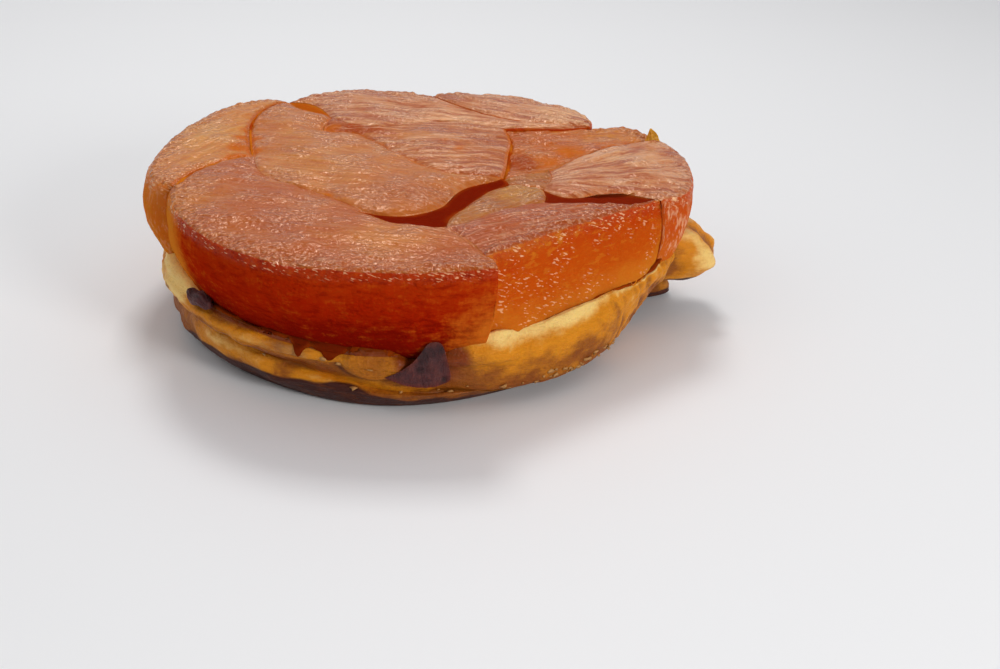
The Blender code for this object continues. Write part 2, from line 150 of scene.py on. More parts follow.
def lumps(points, size, seed=0):
    """Smooth random unevenness from -1 to 1, in lumps of about the size given.

    The corners of a lattice of cubes get values from a hash of their whole-number places. A
    point gets the values of its cube's eight corners, weighted along 3s^2 - 2s^3 on each axis.
    """
    place = np.asarray(points) / size + 91.3
    corner = np.floor(place).astype(np.int64)
    part = place - corner
    part = part * part * (3 - 2 * part)
    total = np.zeros(part.shape[:-1])
    for step in np.ndindex(2, 2, 2):
        mixed = ((corner + step) * (73856093, 19349663, 83492791)).sum(-1) + seed * 7919
        mixed = (mixed ^ (mixed >> 13)) * 1274126177
        value = ((mixed ^ (mixed >> 16)) & 65535) / 32767.5 - 1
        total += value * np.where(step, part, 1 - part).prod(-1)
    return total


def pastry_height(x, y):
    """Upper face of the pastry: a level lip round a well that climbs with the square of radius."""
    bearing = np.arctan2(y, x)
    lip = around(LIP_RADIUS, bearing)
    rise = around(LIP_HEIGHT, bearing) - WELL_HEIGHT
    climb = (np.hypot(x, y) / lip - WELL_START) / (1 - LIP_WIDTH / lip - WELL_START)
    return WELL_HEIGHT + rise * np.clip(climb, 0, 1) ** 2


def draw_out(profile, share, first_ring, shape, pleat=0.0):
    """Draws some rings of a profile out to a shape, wholly where the share is 1."""
    for ring, (radius, height) in enumerate(shape, first_ring):
        old_radius, old_height = profile[ring]
        profile[ring] = (old_radius + share * (radius + pleat - old_radius),
                         old_height + share * (height - old_height))


def pleats(bearing):
    """The flap's folds: 1 along its ridges and -1 between them."""
    return np.cos(FLAP_PLEATS * math.pi * off_bearing(bearing, FLAP_BEARING) / FLAP_HALF_WIDTH)


def pastry_rings(bearing):
    """Radii and heights of the pastry's outline rings at some bearings, from foot to well."""
    waves = sum(size * np.sin(count * bearing + phase) for count, size, phase in PASTRY_WAVES)
    foot, lip = around(FOOT_RADIUS, bearing), around(LIP_RADIUS, bearing)
    lip_height = around(LIP_HEIGHT, bearing)
    roll = foot + around(ROLL_BULGE, bearing) + waves / 2
    upper = lip + UPPER_ROLL_BULGE + waves
    upper_height = lip_height - UPPER_ROLL_DROP
    crease = (roll + upper) / 2 - around(CREASE_DEPTH, bearing)
    crease_height = ROLL_HEIGHT + (upper_height - ROLL_HEIGHT) * around(CREASE_RISE, bearing)
    profile = [
        (foot - FOOT_INSET, 0.0),
        (foot - FOOT_ROUND, FOOT_CORNER),
        (foot, FOOT_ROUND),
        (roll, ROLL_HEIGHT),
        ((roll + crease) / 2 + CREASE_SWELL, (ROLL_HEIGHT + crease_height) / 2),
        (crease, crease_height),
        ((upper + crease) / 2 + CREASE_SWELL, (upper_height + crease_height) / 2),
        (upper, upper_height),
        (upper, upper_height + UPPER_ROLL_DROP / 4),
        (upper - waves / 4, upper_height + UPPER_ROLL_DROP / 2),
        (lip + waves / 2, lip_height - LIP_DROP),
        (lip - LIP_WIDTH / 2, lip_height),
        (lip - LIP_WIDTH, lip_height),
    ]
    for share in WELL_RINGS:
        radius = lip * share
        profile.append((radius, pastry_height(radius * np.cos(bearing), radius * np.sin(bearing))))
    flap = hump(bearing, FLAP_BEARING, FLAP_HALF_WIDTH)
    draw_out(profile, flap, FLAP_RINGS, FLAP_SHAPE, FLAP_PLEAT_DEPTH * pleats(bearing))
    draw_out(profile, hump(bearing, TONGUE_BEARING, TONGUE_HALF_WIDTH), TONGUE_RINGS, TONGUE_SHAPE)
    return np.stack([np.stack(np.broadcast_arrays(*ring)) for ring in profile])


def between_rings(rings, place):
    """Points on the smooth curve that joins the rings, at places counted in rings."""
    index = np.clip(np.floor(place).astype(int), 0, len(rings) - 2)
    column = np.broadcast_to(np.arange(rings.shape[2]), index.shape)
    near = (rings[np.clip(index + step, 0, len(rings) - 1), :, column] for step in NEAR)
    return through(*near, (place - index)[..., None])


def pastry_surface(bearing, place):
    """Points of the pastry's skin at bearings across and places in rings down a grid."""
    radius, height = np.moveaxis(between_rings(pastry_rings(bearing), place), -1, 0)
    return polar(radius, bearing, height)


def quads(ids):
    """Quads between the neighbours in a grid of point numbers."""
    return np.stack([ids[:-1, :-1], ids[:-1, 1:], ids[1:, 1:], ids[1:, :-1]], -1).reshape(-1, 4)


def grid_faces(rows, columns, closed=False):
    """Quads of a grid of points whose columns join up, and where closed its rows too."""
    ids = np.arange(rows * columns).reshape(rows, columns)
    ids = np.hstack([ids, ids[:, :1]])
    return quads(np.vstack([ids, ids[:1]]) if closed else ids)


def outward(points, faces):
    """Unit normals at points: the sum of the normals of the quads that meet there."""
    quads = points[faces]
    across = np.cross(quads[:, 2] - quads[:, 0], quads[:, 3] - quads[:, 1])
    total = np.stack([np.bincount(faces.ravel(), np.repeat(across[:, k], 4), len(points))
                      for k in range(3)], -1)
    return total / (np.linalg.norm(total, axis=1, keepdims=True) + 1e-12)


def show(name, data):
    """Object of some data in the scene."""
    shown = bpy.data.objects.new(name, data)
    bpy.context.scene.collection.objects.link(shown)
    return shown


def make_piece(name, points, faces, marks, material, replaced=()):
    """Mesh object from millimetre points, with its marks as vector attributes for the material."""
    mesh = bpy.data.meshes.new(name)
    mesh.from_pydata((points * MM).tolist(), [], faces)
    for label, values in marks.items():
        layer = mesh.attributes.new(label, "FLOAT_VECTOR", "POINT")
        layer.data.foreach_set("vector", np.asarray(values, np.float32).ravel())
    mesh.materials.append(material)
    mesh.shade_smooth()
    piece = show(name, mesh)
    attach(piece, "root")
    if replaced:
        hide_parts(*replaced)


class Shade:
    """A socket of a node tree. Arithmetic on it adds Math nodes to the tree."""

    def __init__(self, tree, socket=None):
        self.tree, self.socket = tree, socket

    def add(self, kind, settings, sockets, out=0):
        """Adds a node: first its settings, then the values or links of its sockets."""
        node = self.tree.nodes.new("ShaderNode" + kind)
        for name, value in settings.items():
            setattr(node, name, value)
        for name, value in sockets.items():
            if isinstance(value, Shade):
                self.tree.links.new(value.socket, node.inputs[name])
            else:
                node.inputs[name].default_value = value
        return Shade(self.tree, node.outputs[out])

    def math(self, operation, *values):
        return self.add("Math", {"operation": operation}, dict(enumerate(values)))

    def __add__(self, other):
        return self.math("ADD", self, other)

    def __sub__(self, other):
        return self.math("SUBTRACT", self, other)

    def __mul__(self, other):
        return self.math("MULTIPLY", self, other)

    def __rsub__(self, other):
        return self.math("SUBTRACT", other, self)

    __radd__, __rmul__ = __add__, __mul__

    def over(self, low, high):
        """Rises smoothly from 0 at low to 1 at high."""
        return self.add("MapRange", {"interpolation_type": "SMOOTHSTEP"}, {0: self, 1: low, 2: high})

    def blend(self, one, other):
        """Colour that goes from one to the other with this value."""
        one, other = (end if isinstance(end, Shade) else (*end, 1.0) for end in (one, other))
        return self.add("Mix", {"data_type": "RGBA"}, {0: self, 6: one, 7: other}, 2)

    def scaled(self, x, y, z):
        """This vector with each of its parts multiplied."""
        return self.add("VectorMath", {"operation": "MULTIPLY"}, {0: self, 1: (x, y, z)})

    def noise(self, scale, detail=2.0, roughness=0.5, distortion=0.0):
        """Random cloud from 0 to 1 on this vector, in lumps of about 1 / scale."""
        return self.add("TexNoise", {}, {"Vector": self, "Scale": scale, "Detail": detail,
                                         "Roughness": roughness, "Distortion": distortion})

    def turned(self, axis, angle):
        """This vector turned about an axis."""
        return self.add("VectorRotate", {"rotation_type": "AXIS_ANGLE"},
                        {"Vector": self, "Axis": axis, "Angle": angle})

    def bump(self, depth, strength=1.0):
        """Normal of a relief that this value raises, from 0 to a depth in mm."""
        return self.add("Bump", {}, {"Strength": strength, "Distance": depth * MM, "Height": self})

    def mark(self, label):
        """The piece's own marks of that name."""
        return self.add("Attribute", {"attribute_name": label}, {}, "Vector")

    def parts(self):
        """The three parts of this vector."""
        node = self.tree.nodes.new("ShaderNodeSeparateXYZ")
        self.tree.links.new(self.socket, node.inputs[0])
        return [Shade(self.tree, socket) for socket in node.outputs]


def new_material(name, **constants):
    """A material with one Principled shader, its constants set, and its tree to draw on."""
    material = bpy.data.materials.new(name)
    material.use_nodes = True
    tree = material.node_tree
    shader = tree.nodes["Principled BSDF"]
    for label, value in constants.items():
        shader.inputs[label.replace("_", " ")].default_value = value
    return material, Shade(tree), shader


def plug(node, **values):
    """Links values to a node's sockets."""
    for label, value in values.items():
        value.tree.links.new(value.socket, node.inputs[label.replace("_", " ")])


# The brown colour is browned crust and also painted shade at the foot, in creases and under overhangs.
# The pale colour is pale dough and also painted highlight on the crests of the rolls and the flap.
# The soaked colour is syrup-soaked dough and also painted shade in recesses and at the apples' foot.
CRUMB = (0.34, 0.095, 0.006)
CRUMB_DIM = (0.22, 0.048, 0.004)
CRUMB_GOLD = (0.74, 0.26, 0.006)
CRUMB_PALE_AND_HIGHLIGHT = (1.00, 0.66, 0.21)
CRUMB_BROWN_AND_SHADE = (0.060, 0.013, 0.008)
CRUMB_SOAKED_AND_SHADE = (0.24, 0.040, 0.002)


def pastry_material():
    """Golden dough that pales and browns by its marks, flaky in fine level lines.
    Its paleness also paints highlights, and its brown and soaked colours also paint shade.
    """
    material, tree, shader = new_material(
        "pastry", Specular_IOR_Level=0.18, Coat_Roughness=0.3, Subsurface_Weight=0.12,
        Subsurface_Radius=(0.002, 0.001, 0.0004), Subsurface_Scale=1.0)
    place = tree.add("TexCoord", {}, {}, "Object")
    # Marks: pale dough with painted highlight, brown crust with painted shade, and syrup with painted shade.
    pale_and_lit, brown_and_shade, soaked_and_shade = tree.mark("bake_and_shading").parts()
    flake = place.scaled(0.5, 0.5, 1.7).noise(620, 4, 0.65)
    toast = place.noise(330, 3, 0.55)
    grain = place.noise(1100, 3, 0.65)
    mottle = place.noise(170, 3, 0.6)
    base = (mottle.over(0.35, 0.65) * 0.6).blend(CRUMB, CRUMB_DIM)
    # The pale blends carry painted highlights, and the soaked and brown blends carry painted shade.
    base = (pale_and_lit + (mottle - 0.5) * 0.35 + (toast - 0.5) * 0.7).over(0.05, 0.55).blend(base, CRUMB_GOLD)
    base = (pale_and_lit + (flake - 0.5) * 0.4 + (toast - 0.5) * 0.6).over(0.6, 1.15).blend(base, CRUMB_PALE_AND_HIGHLIGHT)
    base = (soaked_and_shade + (mottle - 0.5) * 0.4 + (toast - 0.5) * 0.4).over(0.15, 0.75).blend(base, CRUMB_SOAKED_AND_SHADE)
    base = (brown_and_shade + (mottle - 0.5) * 0.3 + (toast - 0.5) * 0.6).over(0.2, 1.0).blend(base, CRUMB_BROWN_AND_SHADE)
    dim = (1 - flake).over(0.5, 0.66) * (0.45 - pale_and_lit.over(0.1, 0.7) * 0.4) + grain.over(0.5, 0.75) * 0.12
    base = dim.blend(base, CRUMB_DIM)
    plug(shader, Base_Color=base, Roughness=0.48 - soaked_and_shade * 0.25 + grain * 0.12,
         Coat_Weight=0.06 + soaked_and_shade * 0.14, Normal=(flake * 0.6 + grain * 0.4).bump(0.9))
    return material


# Parts of the pastry's side, each as the bearing of its middle and its half width.
FAT_ROLL = (309, 29)
# Where the painted highlight along the fat roll's crest lies.
FAT_CREST_HIGHLIGHT = (306, 29)
CREST_ENDS = (284, 331)
SHOULDER = (289, 11)
FRONT_ROLLS = (236, 34)
BACK_ROLLS = (125, 80)
LEFT_LIP = (203, 26)
CRACKED = (341, 17)

# Rolls laid on: the part they run along, their middle and width in rings, and their height.
ROLLS = {"fat": (FAT_ROLL, 8.0, 2.4, 1.4), "lower": (FRONT_ROLLS, 4.1, 0.8, 0.9),
         "upper": (FRONT_ROLLS, 8.8, 1.5, 0.6), "back": (BACK_ROLLS, 8.8, 1.5, 0.9),
         "back_low": (BACK_ROLLS, 4.6, 1.0, 0.63)}
CREST_LIFT = 2.5
SHOULDER_LIFT = 1.6

# Inside this ring the pastry stands on the floor, and outside it keeps this far above.
STANDING_RING = 0.6
FLOOR_GAP = 0.15

# The puff at the front: bearing and height of its middle, and its half sizes both ways.
PUFF_PLACE = (269, 11.6)
PUFF_REACH = (7.4, 3.4)
PUFF_HEIGHT = 1.6


def laid_on(skin, normal, ring):
    """The pastry's skin with its rolls, puff and unevenness laid on along its normals.

    Rolls are bell curves across the rings, and the fat roll's crest is lifted straight up. Also
    returns the marks for the material: how pale, how brown and how soaked each point is. Each
    mark is the sum of what the parts of the pastry add to it. The pale mark also paints
    highlights along the crests of the rolls and the flap's pleats. The brown and soaked marks
    also paint shade at the bottom, in the creases, under the fat roll, the puff and the flap,
    and at the foot of the apples.
    """
    turn, high = np.arctan2(skin[:, 1], skin[:, 0]), skin[:, 2]
    side = smooth(ring, 1.5, 3) * (1 - smooth(ring, 11.2, 12))
    stretched = skin * (0.7, 0.7, 1.4)
    rolls = {name: hump(turn, *part) * bell(ring, middle, width)
             for name, (part, middle, width, _) in ROLLS.items()}
    right, roll = hump(turn, *FAT_ROLL), rolls["fat"]
    start, end = (off_bearing(turn, bearing) for bearing in CREST_ENDS)
    lifted = (smooth(start, -8, 7) * (1 - smooth(end, -9, 10))
              * smooth(ring, 8.2, 11) * (1 - smooth(ring, 12.3, 13.5)))
    # The fat roll's crest, where a painted highlight goes.
    crest_highlight = hump(turn, *FAT_CREST_HIGHLIGHT) * lifted
    left_lip = hump(turn, *LEFT_LIP) * bell(ring, 12.3, 0.9)
    from_puff = np.hypot(off_bearing(turn, PUFF_PLACE[0]) / PUFF_REACH[0],
                         (high - PUFF_PLACE[1]) / PUFF_REACH[1])
    puff = (1 - smooth(from_puff, 0.6, 1.1)) * smooth(ring, 4.5, 5.5)
    cracks = hump(turn, *CRACKED) * lumps(skin * (1, 1, 0.3), 1.3, 11)
    uneven = 0.9 * lumps(skin * (1, 1, 1.5), 8, 1) + 0.45 * lumps(stretched, 3.4, 2)
    relief = side * (uneven + 0.17 * lumps(stretched, 1.2, 3)) * (1 - 0.6 * roll)
    relief += sum(ROLLS[name][-1] * share for name, share in rolls.items())
    relief += right * 0.8 * bell(high, 5.2, 1.2)
    relief += puff * (PUFF_HEIGHT + 0.07 * np.cos(math.tau * 4.5 * from_puff))
    relief += left_lip * (1.8 + 0.7 * lumps(skin, 3.0, 6)) + 0.28 * side * cracks
    points = skin + normal * relief[:, None]
    points[:, 2] = np.where(ring < STANDING_RING, points[:, 2], np.maximum(points[:, 2], FLOOR_GAP))
    shoulder = hump(turn, *SHOULDER) * smooth(ring, 7, 9.2) * (1 - smooth(ring, 11, 12.5))
    points[:, 2] += lifted * (CREST_LIFT + 0.35 * lumps(skin, 4, 6)) + SHOULDER_LIFT * shoulder
    points[:, :2] *= 1 + (0.05 * shoulder - 0.012 * lifted)[:, None]

    reach = np.hypot(*skin.T[:2])
    tongue = hump(turn, TONGUE_BEARING, 9) * (1 - smooth(high, 5, 7)) * smooth(reach, 56, 59)
    at_flap, ridge = hump(turn, FLAP_BEARING, 18), pleats(turn)
    flap = at_flap * smooth(ring, 4, 6)
    soft = lumps(skin, 6, 7)
    # Height below which the side is browner: browning and painted shade at the tart's foot, highest at the
    # front left.
    browning_and_shade_height = 2.0 + 3.4 * hump(turn, 240, 46) + 1.2 * hump(turn, 312, 20) + 0.7 * soft
    front = hump(turn, 258, 42)
    open_lip = smooth(ring, 9.8, 11) * (1 - hump(turn, 205, 26))
    looks = (
        (soft, (0.15, 0.15, 0)),
        # Painted light and shade: the side is paler on its raised lumps and browner in its hollows.
        (side * (1 - roll) * uneven, (0.3, -0.35, 0)),
        (smooth(ring, 9.6, 11) * (1 - front) * (1 - right), (0.7, 0, 0)),
        # Soaked colour along the lip under the apples: syrup stain, and also painted shade at the apples' foot.
        (open_lip * (0.7 + 0.3 * front - 0.7 * right - 0.6 * at_flap), (0, 0, 1)),
        (left_lip + 0.8 * hump(turn, LEFT_LIP[0], 22) * smooth(high, 9, 13), (1, 0, 0)),
        (roll, (0.45, -0.7, -0.4)),
        # Painted highlight along the fat roll's crest.
        (crest_highlight, (1.15, -0.9, -0.6)),
        # Painted shade: a brown band under the fat roll.
        (right * bell(high, 4.4, 1.0) * (0.55 + 0.2 * soft), (0, 1, 0)),
        # Painted highlight along the crests of the front rolls.
        (rolls["lower"] * (0.6 + 0.25 * soft) + 0.7 * rolls["upper"], (1, 0, 0)),
        # Painted highlight along the crests of the back rolls.
        ((rolls["back"] + 0.7 * rolls["back_low"]) * (0.45 + 0.35 * soft), (1, 0, 0)),
        (cracks, (0.35, 0, 0)),
        (hump(turn, CRACKED[0], 15), (0.4, -0.35, 0)),
        # Painted highlight along the lower roll at the front.
        (hump(turn, 268, 22) * bell(high, 6.2, 1.5), (0.35, -0.5, 0)),
        # Browner towards the bottom: browning and painted shade at the foot.
        (1 - smooth(high - browning_and_shade_height, -0.8, 0.7), (0, 1.6, 0)),
        (puff, (0.3, 0, 0.35)),
        (puff * soft, (-0.3, 0, 0)),
        (puff * np.cos(math.tau * 5 * from_puff), (0, 0.22, 0)),
        # Painted shade: a brown line round the lower edge of the puff.
        (bell(from_puff, 1.12, 0.13) * smooth(ring, 4, 5) * (1 - smooth(high, 11, 13)), (0, 0.8, 0)),
        (tongue, (0.15, -1.7, 0)),
        # Painted highlight on the flap's pleat ridges and its upper part.
        (flap * (0.25 + 0.3 * ridge + 0.3 * smooth(high, 12, 17)), (1, 0, 0)),
        (flap * smooth(high, 10, 12) * (0.7 + 0.15 * ridge), (0, -1, 0)),
        # Painted shade on the flap's underside.
        (at_flap * (1 - smooth(high, 9.0, 12.5)), (0, 1.3, 0)),
        (smooth(reach, 70.6, 72.8), (0, 0.9, 0)),
        # Painted shade: the soaked colour in the crease between the front rolls.
        (hump(turn, *FRONT_ROLLS) * bell(ring, 6.0, 0.9), (0, 0, 0.65)),
        (spot(turn, high, 284, 9, 7, 4), (0, 0, 0.6)),
        (spot(turn, high, 250, 12.5, 9, 2.0), (0, 0, 0.5)),
        (hump(turn, 281, 9) * smooth(ring, 7, 9.5), (0, 0, 0.8)),
    )
    return points, sum(part[:, None] * adds for part, adds in looks)


def add_pastry():
    """The pastry's skin with its relief. Returns its points, their normals and places in rings."""
    even = turns(PASTRY_SEGMENTS)
    bearing = even - PASTRY_CROWDING * np.sin(even - math.radians(FLAP_BEARING))
    place = np.concatenate([np.linspace(*rows) for rows in PASTRY_ROWS])
    grid = pastry_surface(bearing, np.repeat(place[:, None], len(bearing), 1))
    rows, columns = grid.shape[:2]
    skin = grid.reshape(-1, 3)
    faces = grid_faces(rows, columns)
    normal, ring = outward(skin, faces), np.repeat(place, columns)
    points, marks = laid_on(skin, normal, ring)
    centre = len(points)
    points = np.vstack([points, [[0, 0, WELL_HEIGHT]]])
    rim = (rows - 1) * columns + np.arange(columns)
    fan = np.stack([rim, np.roll(rim, -1), np.full(columns, centre)], -1)
    marks = np.vstack([marks, [[0, 0, 0]]])
    all_faces = faces.tolist() + fan.tolist() + [np.arange(columns)[::-1].tolist()]
    make_piece("pastry_skin", points, all_faces, {"bake_and_shading": marks}, pastry_material(), ["pastry"])
    return points[:-1], normal, ring


pastry_skin = add_pastry()

# ----------------------------------------
# Apple slices. Caramelised apple, soft and see-through, laid edge to edge and pressed flat by the
# tin, so their upper faces are level and their outer walls upright. Each slice is a grid between
# two chains of seams, with its wall carried down to the pastry and its skin of glaze laid on.
# ----------------------------------------

# How far the wall's foot lies out from its rim and how far its middle bulges, in steps of 30
# degrees round the tart from +X.
WALL_LEAN = (-3.2, -5.0, -6.5, -5.0, -5.5, -4.8, -2.4, -3.6, -7.0, -6.6, 2.2, 3.2)
WALL_BULGE = (1.2, 1.4, 1.4, 1.4, 1.4, 2.2, 3.0, 2.0, 1.2, 1.4, 1.0, 1.4)
LEAN_START = 36.0
LEAN_FULL = 52.0
SEAM_GAP = 0.03
TIP_WIDTH = 0.25
RIM_ROUND = 1.1
SEAM_ROUND = 0.8
SEAM_REACH = 2.4
SYRUP_REACH = 0.9
RIM_REACH = 3.4
CROWN_REACH = 6.0
SKIN_STEP = 0.46
FEWEST_COLUMNS = 8
ROW_CROWDING = 0.3
COLUMN_CROWDING = 0.7
SPLINE_STEPS = 12
WALL_ROWS = 34
WALL_SINK = 0.4
FIBRE_SHAPE = (0.14, 1, 0.1)
FAN_SPREAD = 16.0
FAR = 99.0

# Seams in plan, measured and then evened out, each from one meeting point to another.
# Rims are the outer ones.
SEAMS = {
    "left_front": ((-47.5, -19), (-45.5, -11), (-41, -3.5), (-34.5, 1.5)),
    "left_centre": ((-34.5, 1.5), (-37, 13), (-39, 25), (-38.8, 34), (-36.5, 40.5), (-33, 45.5)),
    "front_centre": ((-34.5, 1.5), (-31, -9), (-25, -15), (-17, -20), (-10, -26), (-6.5, -30)),
    "pool_front": ((-6.5, -30), (-2, -34), (2, -36.5), (6.5, -37.5), (11.5, -37)),
    "pool_centre": ((-6.5, -30), (-2, -31), (2, -30.8), (6, -28.8), (10.2, -24), (14, -13), (22.5, -5.5)),
    "pool_sliver": ((11.5, -37), (12.2, -31), (14.7, -25), (17.4, -18.5), (20.2, -13), (24, -9.5)),
    "pool_end": ((22.5, -5.5), (23.4, -7.4), (24, -9.5)),
    "front_right": ((11.5, -37), (17, -45.5), (20, -51.5)),
    "front_corner": ((20, -51.5), (21.6, -54), (22.3, -57)),
    "sliver_right": ((11.5, -37), (15, -34.5), (18.5, -30.3), (22.5, -26), (27, -22.5), (31.5, -20.2)),
    "sliver_trough": ((31.5, -20.2), (32, -16), (31.5, -11.5)),
    "sliver_chip": ((24, -9.5), (28, -10.2), (31.5, -11.5)),
    "trough_fan": ((31.5, -11.5), (35, -14.6), (38.5, -15.2), (43, -12.8), (49, -11.4), (57, -14.5)),
    "trough_right": ((31.5, -20.2), (36, -20.6), (43, -19.8), (50, -19), (57, -14.5)),
    "centre_mid": ((-20.5, 33.5), (-21.5, 27), (-20, 22), (-12, 20.6), (-1, 7.2), (8, -2.4), (22.5, -5.5)),
    "wedge_centre": ((-33, 45.5), (-30, 41.5), (-25.5, 37.5), (-20.5, 33.5)),
    "wedge_back": ((-33, 45.5), (-28, 45.4), (-24, 41), (-20.5, 33.5)),
    "mid_back": ((-20.5, 33.5), (-15, 29), (-8, 27), (-2, 31.5), (6, 34), (14, 33.4), (22.5, 31)),
    "mid_sunken": ((22.5, 31), (24, 22), (23.5, 12), (23.2, 3), (22.5, -5.5)),
    "chip_sunken": ((22.5, -5.5), (26, -3.6), (29, -1), (33, 2)),
    "chip_fan": ((33, 2), (33.4, -4.5), (31.5, -11.5)),
    "fan_sunken": ((33, 2), (36, 6), (39.5, 10.5), (46, 17.5), (52, 22.5), (59.5, 27)),
    "back_far": ((3, 56), (7.5, 51), (12.5, 46), (19, 40.3), (27, 36.6), (36, 34.8), (43.5, 34.5)),
    "back_sunken": ((22.5, 31), (29, 31.4), (36, 31.6), (43.5, 34.5)),
    "rim_left": ((-47.5, -19), (-52, -16.8), (-54.8, -9), (-55.6, 2), (-54.9, 14), (-52.6, 26), (-48.4, 36),
                 (-43, 43.4), (-37.5, 47), (-33, 45.5)),
    "rim_front": ((-47.5, -19), (-47.2, -24), (-44.2, -33), (-39.4, -41.6), (-33.2, -49), (-26, -54.8),
                  (-16, -59.4), (-3, -60.8), (11, -60), (22.3, -57)),
    "rim_right": ((20, -51.5), (24.5, -47.2), (31, -40), (39, -32), (47.5, -24), (53, -19), (57, -14.5)),
    "rim_fan": ((57, -14.5), (62.6, -10.5), (65, -2), (65.4, 8), (63.8, 18), (59.5, 27)),
    "rim_sunken": ((59.5, 27), (56, 33), (50.5, 37.4), (43.5, 34.5)),
    "rim_far": ((43.5, 34.5), (43.8, 40.5), (40.4, 46.6), (33.4, 53), (25, 58), (14.5, 60.4), (7, 59), (3, 56)),
    "rim_back": ((3, 56), (-5, 59), (-16, 59), (-26, 54.6), (-33, 45.5)),
}

# Seams at which the slices stand at different heights; along the others they meet level.
STEPS = ("back_far", "back_sunken", "mid_sunken", "fan_sunken", "chip_sunken", "trough_fan", "trough_right",
         "sliver_trough", "pool_front", "pool_centre", "pool_sliver", "wedge_centre", "wedge_back")

# How far each seam dips, and how much its syrup tells: 1 is a clear orange line, 0 unseen.
SEAM_LOOKS = {
    "left_front": (0.45, 1.0), "left_centre": (0.45, 0.9), "front_centre": (0.18, 0.25),
    "centre_mid": (0.35, 0.6), "mid_back": (0.12, 0.1), "mid_sunken": (0.4, 0.9),
    "chip_sunken": (0.3, 0.6), "chip_fan": (0.3, 0.5), "fan_sunken": (0.5, 0.9),
    "back_far": (0.3, 0.45), "back_sunken": (0.2, 0.3), "sliver_right": (0.3, 0.4),
    "sliver_chip": (0.25, 0.5), "front_right": (0.3, 0.4), "front_corner": (0.1, 0.05)}
SEAM_LOOK_USUAL = (0.5, 0.45)

